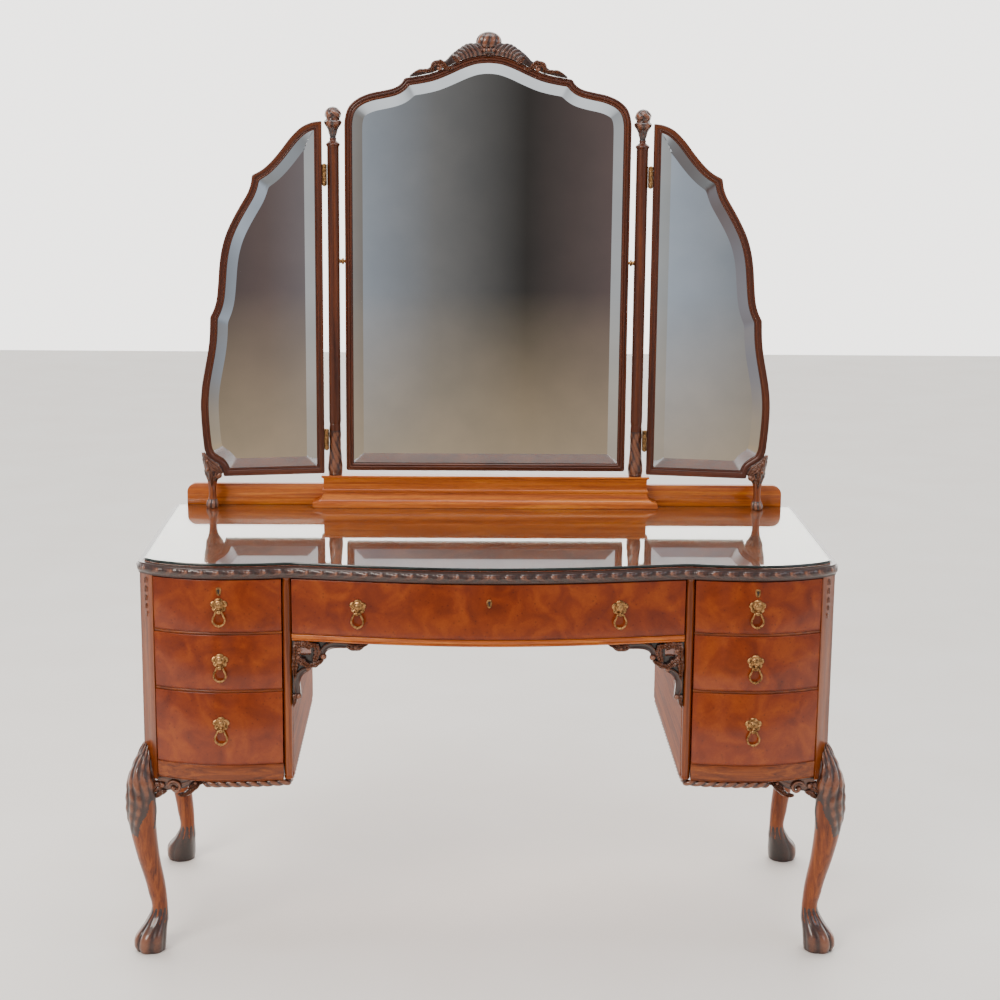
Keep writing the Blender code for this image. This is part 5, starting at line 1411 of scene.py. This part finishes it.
def drop_ring():
    """A wire on a closed line, a pin and an arc below it; a bead and two collars swell it at its foot."""
    turn = np.radians(np.linspace(34, -214, 60))
    arc = np.column_stack([RING_R * np.cos(turn), RING_R * np.sin(turn) - RING_DROP])
    corners = np.vstack([[[-5.7 * MM, 0], [5.7 * MM, 0]], arc, [[-5.7 * MM, 0]]])
    line = softened(even_steps(corners, 0.5 * MM)[:-1], 5, closed=True)
    off = np.hypot(line[:, 0], line[:, 1] + RING_DROP + RING_R) / MM
    wire = np.where(line[:, 1] > -1.2 * MM, 1.6, 1.9) + 1.4 * np.exp(-(off / 1.9) ** 2)
    wire = (wire + 0.8 * np.exp(-((off - 4.2) / 0.8) ** 2))[:, None] * MM
    side = outward(line, closed=True)
    around = angles(14)
    points = np.stack([line[:, :1] + wire * np.cos(around) * side[:, :1], wire * np.sin(around),
                       line[:, 1:] + wire * np.cos(around) * side[:, 1:]], -1)
    return grid(points, round_rows=True, round_cols=True)


def keyhole():
    """A brass rim with its point down, and inside it a dark sheet in the slot, painted shade for the keyhole's
    opening.
    """
    half = np.array([(0, 8.4), (2.6, 8.0), (4.6, 6.4), (5.3, 3.6), (4.9, 0.4), (4.5, -2.6), (3.6, -5.8),
                     (1.8, -8.0), (0, -8.6)]) * MM
    rim = softened(even_steps(np.vstack([half, half[-2::-1] * [-1, 1]]), 0.7 * MM)[:-1], 3, closed=True)
    slot = np.array([(0, 5.0), (2.0, 4.3), (2.7, 2.2), (1.7, -0.6), (1.0, -4.6), (0, -5.6)]) * MM
    slot = softened(even_steps(np.vstack([slot, slot[-2::-1] * [-1, 1]]), 0.5 * MM)[:-1], 2, closed=True)
    brass_part = plate(rim, [(0, 0.2 * MM), (0, -0.7 * MM), (0.5 * MM, -1.2 * MM), (1.2 * MM, -1.1 * MM),
                             (1.6 * MM, -0.6 * MM)], "upright")
    slot_shade_sheet = plate(slot, [(0, 0.0), (0, -0.75 * MM)], "upright")
    # the sheet in the slot takes relief 0, the darkest carved brown: painted shade where the keyhole opens
    # into the drawer
    return [brass_part, {**slot_shade_sheet, "finish": 1, "relief": 0 * slot_shade_sheet["relief"]}]


PULLS = [("%s_%s" % (word, row), "%s_%s_drawer" % (word, row)) for word, _ in SIDES for row in ROWS]
PULLS += [("centre_left", "centre_drawer"), ("centre_right", "centre_drawer")]
for name, drawer_name in PULLS:
    low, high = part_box(name + "_pull_plate")
    x = (low.x + high.x) / 2
    z = low.z + PIN_DROP + 4 * MM
    seat = (x, float(front_line(x, CARCASS_OUT)) - 0.3 * MM, z)
    parts = [moved(part, seat, facing_out(x)) for part in [rosette()] + eye_and_lug()]
    piece(name + "_rosette", drawer_name, parts, [brass], [name + "_pull_plate"], crease=60)
    ring = moved(moved(drop_ring(), (0, -PIN_OUT, -PIN_DROP)), seat, facing_out(x))
    piece(name + "_drop_ring", name + "_pull_ring", [ring], [brass], [name + "_pull_ring"],
          crease=60)
    if "top" in name:
        parts = [moved(part, np.array(seat) + [0, 0, LOCK_RISE], facing_out(x)) for part in keyhole()]
        piece(name + "_keyhole", drawer_name, parts, [brass, carved])
centre_seat = (0, float(front_line(0, CARCASS_OUT)) - 0.3 * MM, z + 12 * MM)
piece("centre_keyhole", "centre_drawer", [moved(part, centre_seat) for part in keyhole()], [brass, carved])

# %% [markdown]
# ## Kneehole brackets
# A pierced bracket fills each upper corner of the kneehole: a cluster of leaves in the corner, a
# C-scroll that drops from it to a ball, and another that runs out under the rail to a small leaf. Two
# sawn boards stand behind them as their ground; leaves and cupped straps, each a strip along its own
# spine, lie on its face as the carver left them.

# %% Carved brackets
def bracket(word, side):
    """A bracket in millimetres across from the side and down from the rail, mirrored to its own side."""
    low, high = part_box(word + "_bracket")
    face, edge, top = low.y, KNEEHOLE_HALF - 0.8 * MM, high.z
    out = (0, -1, 0)

    def at(across, down, stand=0.0):
        return np.array([edge - across * MM, face - stand * MM, top - down * MM])

    def lying(places, widths, lift, lobes=3, cupped=0.0, stand=0.0):
        raised = [(across, down, stand) for across, down in places]
        return strip(at, raised, widths, lift, out, lobes, 12 + stand, cupped)

    along_the_rail = [(0, 0), (150, 0), (138, 6), (122, 11), (108, 7), (92, 3), (78, 4), (68, 10), (64, 22),
                      (58, 34), (48, 42), (38, 46), (36, 30), (36, 13), (0, 13)]
    down_the_side = [(0, 12.5), (14, 12.5), (14, 30), (36.5, 29.5), (38.5, 46), (34, 55), (22, 60), (12, 70),
                     (7, 84), (9, 100), (12, 112), (4, 122), (0, 132)]
    parts = []
    for outline in (along_the_rail, down_the_side):
        across, down = np.array(outline, float).T
        placed = np.column_stack([edge - across * MM, top - down * MM])
        parts.append(plate(placed, [(0, high.y - 1 * MM), (0, face + 5 * MM)], "upright"))
        # relief 0 gives the ground the darkest carved brown, as in the hollows: partly dust and stain, partly
        # painted shade behind the leaves
        parts[-1]["relief"] = 0 * parts[-1]["relief"]
    parts += [lying([(31, 57), (22, 60), (13, 69), (8.5, 84), (10, 99), (13, 110)],
                    [4, 6, 7.4, 7.6, 7, 4], 4, 0, 1.0, 1),
              lying([(61, 35), (59, 25), (65, 14), (78, 8.5), (95, 8), (112, 10)],
                    [4, 6.5, 7.5, 7.5, 6.5, 5], 4, 0, 1.0, 1),
              lying([(3.5, 108), (5, 120), (1.5, 133)], [5, 4.4, 0.8], 3, 2, 0, 1),
              lying([(3, 6), (26, 6.5), (52, 10)], [6, 8.5, 4], 6, 4, 0, 1.5),
              lying([(6, 4), (7, 28), (5, 54), (5, 78)], [5, 8, 7, 2], 6, 4, 0, 1.0),
              lying([(8, 34), (20, 42), (34, 52)], [6, 9, 4], 6, 3, 0, 2.0),
              lying([(45, 6), (49, 22), (42, 42)], [5, 9, 4], 5, 3, 0, 1.0),
              lying([(28, 50), (44, 47), (60, 38)], [4, 7, 3], 5, 3, 0, 0.5),
              lying([(12, 12), (24, 8), (36, 15)], [4, 5.5, 3], 5, 2, 0, 3.0),
              lying([(104, 8), (122, 13), (139, 8), (152, 1.5)], [5, 8.5, 5, 0.8], 5, 3, 0, 0.5),
              scroll(at(33, 56), 6 * MM, 60, 300, 2.2 * MM, (-1, 0, 0), (0, 0, 1)),
              scroll(at(12, 18, 2), 7 * MM, 200, 320, 2.4 * MM, (-1, 0, 0), (0, 0, 1))]
    balls = [(12.5, 111, 5.6), (61, 31, 6.2), (33, 56, 3.6), (12, 32, 4.2), (12, 18, 3.4), (123, 13, 3.8),
             (38, 8, 4.0)]
    parts += [button(at(x, z, 1.5), r * MM, r * 1.05 * MM, out) for x, z, r in balls]
    mirrored = [moved(part, side=side) for part in parts]
    piece(word + "_bracket_carved", "table", mirrored, [carved], [word + "_bracket"],
          crease=60)


bracket("left", -1)
bracket("right", 1)

# %% [markdown]
# ## The crest
# The crown of the middle mirror carries a fluted ball in a small cup, a feathered hump on each side of
# it, and beyond those a curled leaf and a long thin one that die into the frame. The hump is one sheet
# between the frame's line and the crest's own outline; ridges six millimetres apart lean outwards as
# they rise, and scallop the upper edge.

# %% Carved crest
def crest():
    """A ridged hump to each side, the ball and its cup in the middle, and the leaves towards the ends."""
    front, back = POST_Y - 9 * MM, POST_Y + 6.7 * MM
    arch_x, arch_z = np.array([point for point in ARCH if point][::-1]).T
    crest_x, crest_z = np.array(CREST[::-1]).T
    x = np.linspace(0, CREST[0][0] * MIRROR_HALF, 230)[:, None]
    share = x / MIRROR_HALF
    foot = TABLE_HEIGHT + np.interp(share, arch_x, arch_z) + 0.3 * MM
    brow = TABLE_HEIGHT + smooth_between(share[:, 0], crest_x, crest_z)[:, None]
    tall = np.maximum(brow - foot, 0.3 * MM)
    t = np.linspace(0, 1, 17)[None, :]
    lean = 0.75 * t ** 1.6 * tall * (0.6 + x / 0.12)
    fold = np.abs(np.cos(np.pi * (x - lean + 1.2 * MM * np.sin(x / (7 * MM))) / (8.6 * MM)))
    hump = np.clip((0.076 - x) / 0.012, 0, 1) * np.clip(tall / (9 * MM), 0, 1)
    crown = np.sqrt(np.clip(np.sin(np.pi * np.clip(0.10 + 0.86 * t, 0, 1)), 0, 1))
    stand = (1.2 + crown * (1.6 + hump * (1.6 + 3.6 * fold))) * MM
    reach = foot + t * (tall + 1.3 * MM * hump * (fold - 0.5) * t)
    sheet = np.stack([x + 0 * t, front - stand, reach], -1)
    rear = np.stack([x + 0 * t, back + 0 * t + 0 * x, reach], -1)[:, ::-1]
    height = 0.10 + 0.55 * fold * hump * (1 - 0.6 * t) + 0.15 * crown
    relief = np.concatenate([height, np.zeros_like(stand)], 1)
    body = grid(np.concatenate([sheet, rear], 1), round_cols=True, caps=True, relief=relief)
    parts = [moved(body, side=side) for side in (-1, 1)]

    turn = angles(96)
    rise = np.linspace(0.03, np.pi - 0.03, 60)[:, None]
    flute = np.abs(np.cos(5 * turn + 1.1 * np.cos(rise)))
    swell = 1 - 0.085 * np.sin(rise) * (1 - flute ** 0.7)
    reach = np.sin(rise) * swell
    ball_z = TABLE_HEIGHT + 0.9925
    ball = np.stack([27 * MM * reach * np.cos(turn), 18 * MM * reach * np.sin(turn) + POST_Y - 2 * MM,
                     -20.5 * MM * np.cos(rise) + 0 * turn + ball_z], -1)
    parts.append(grid(ball, round_cols=True, caps=True, relief=0.15 + 0.8 * flute * np.sin(rise)))
    cup = [(7, 31), (12, 28), (16, 22), (17.5, 17), (15, 14)]      # radius, and drop from the ball's middle
    cup = [(radius * MM, ball_z - drop * MM) for radius, drop in cup]
    parts.append(turned(cup, 0, POST_Y - 4 * MM, 40, 0.35))
    for lean in np.radians([-62, -31, 0, 31, 62]):
        place = (17.5 * MM * math.sin(lean), POST_Y - 4 * MM - 16.5 * MM * math.cos(lean), ball_z - 17.5 * MM)
        parts.append(button(place, 3.9 * MM, 3.6 * MM, (math.sin(lean), -math.cos(lean), 0)))

    def at(across, up, stand=0.0):
        return np.array([across * MM, front - stand * MM, TABLE_HEIGHT + up])

    out = (0, -1, 0)
    for side in (-1, 1):
        run = [strip(at, [(60, 0.948, 2), (70, 0.955, 3), (76, 0.964, 2)], [3, 4.5, 0.9], 3.5, out, 2, 9),
               strip(at, [(74, 0.938, 1), (88, 0.938, 2), (99, 0.950, 2), (108, 0.951, 1)], [3, 5.5, 6, 2], 5,
                     out, 3, 10),
               strip(at, [(94, 0.946, 3), (108, 0.950, 5), (118, 0.940, 4), (114, 0.930, 2)], [2, 5, 5.5, 2],
                     4, out, 3, 11),
               scroll(at(105, 0.938, 2), 8.0 * MM, 20, 330, 2.6 * MM, (1, 0, 0), (0, 0, 1)),
               button(at(105, 0.937, 2), 4.2 * MM, 4.5 * MM, out),
               strip(at, [(116, 0.934, 1), (130, 0.932, 2), (146, 0.931, 1), (164, 0.923, 0)],
                     [3, 4.5, 4, 0.8], 4, out, 4, 9)]
        parts += [moved(part, side=side) for part in run]
    piece("crest_carved", "centre_mirror", parts, [carved], ["crest"], crease=60)


crest()

# %% [markdown]
# ## Feet of the wings
# Each wing stands on a small cabriole leg at its outer end, so that its weight is not left to the
# hinges. It repeats the legs of the table: a carved knee with a bright scroll, a plain shin and a paw.
# Its centre line and its two radii are functions of height.

# %% Wing feet
# height, middle line inside the wing's far edge, half width and half depth, in mm, from the sole up
FOOT_KNOTS = [(0, 20.5, 11.5, 11.0), (4, 20.5, 12.5, 12.0), (10, 21.0, 12.0, 11.5), (17, 21.5, 9.6, 8.6),
              (24, 21.5, 8.6, 8.0), (40, 21.0, 8.2, 7.8), (58, 21.5, 10.8, 8.5), (74, 22.5, 17.0, 9.2),
              (86, 19.5, 15.5, 9.2), (96, 13.5, 11.0, 9.0), (104, 9.5, 8.2, 8.2), (112, 6.0, 5.4, 7.0),
              (121, 2.5, 3.2, 5.2)]
FOOT_HEIGHTS, *FOOT_RUNS = np.array(FOOT_KNOTS).T * MM


def wing_foot(word, side):
    """Toes push out the paw and leaves the knee, as waves of the angle that fade out with height."""
    far, mid = STILE_GAP + WING_WIDTH, WING_FRONT + WING_THICK / 2
    z = np.linspace(0, FOOT_HEIGHTS[-1], 120)
    inwards, wide, deep = [smooth_between(z, FOOT_HEIGHTS, run)[:, None] for run in FOOT_RUNS]
    height = z[:, None] / MM
    turn = angles(56)
    knee = np.clip((height - 54) / 8, 0, 1) * np.clip((120 - height) / 8, 0, 1)
    paw = np.clip((22 - height) / 8, 0, 1)
    fold = np.abs(np.cos(2.5 * turn + 1.3 * np.sin(height / 8))) ** 0.8
    veins = 0.5 + 0.5 * np.cos(height * 0.75 + 3 * np.cos(turn))
    carving = np.clip(knee * fold * (0.6 + 0.4 * veins) + paw * np.abs(np.cos(3.5 * turn)) ** 0.7, 0, 1)
    push = (2.0 * carving - 0.9 * np.clip(knee + paw, 0, 1)) * MM
    x = far - inwards + (wide + push) * np.cos(turn)
    y = mid + (deep + push) * np.sin(turn)
    points = np.stack([x, y, TABLE_HEIGHT + 0.8 * MM + z[:, None] + 0 * x], -1)
    part = grid(points, round_cols=True, caps=True, relief=np.clip(0.12 + 0.85 * carving, 0, 1))
    shin, cut = in_two(part, np.clip(knee + paw, 0, 1) + 0 * turn, plain_finish=1)

    def at(inward, up, stand=0.0):
        return np.array([far - inward * MM, WING_FRONT - stand * MM, TABLE_HEIGHT + up * MM])

    out = (0, -1, 0)
    parts = [cut, shin,
             strip(at, [(5, 122, 0), (10, 106, 3), (17, 88, 3), (19, 66, 1), (20, 46, -1)], [2, 6, 8, 5, 1],
                   3.4, out, 5, 8),
             strip(at, [(6, 118, 2), (19, 103, 3), (33, 92, 3), (42, 76, 2)], [3, 6, 7, 4], 3, out, 4, 15),
             strip(at, [(14, 96, 1), (26, 88, 3), (38, 78, 2)], [4, 8, 4], 4, out, 3, 10),
             scroll(at(36, 73, 1), 8.0 * MM, 120, 330, 2.6 * MM, (-1, 0, 0), (0, 0, 1))]
    balls = [(36.5, 73, 1, 5.8, 5.2), (11, 105, 4, 3.4, 3.4), (12, 86, 4.5, 3.8, 3.6)]
    parts += [button(at(*place), radius * MM, tall * MM, out) for *place, radius, tall in balls]
    block = board((far - 40 * MM, WING_FRONT + 3 * MM, TABLE_HEIGHT + 66 * MM),
                  (far - 20 * MM, WING_FRONT + 16 * MM, TABLE_HEIGHT + 84 * MM), 4 * MM)
    block["relief"] = np.full_like(block["relief"], 0.2)
    parts = on_wing(parts + [block], side)
    piece(word + "_wing_foot_carved", word + "_wing", parts, [carved, walnut_upright],
          [word + "_wing_foot"], crease=60)


wing_foot("left", -1)
wing_foot("right", 1)
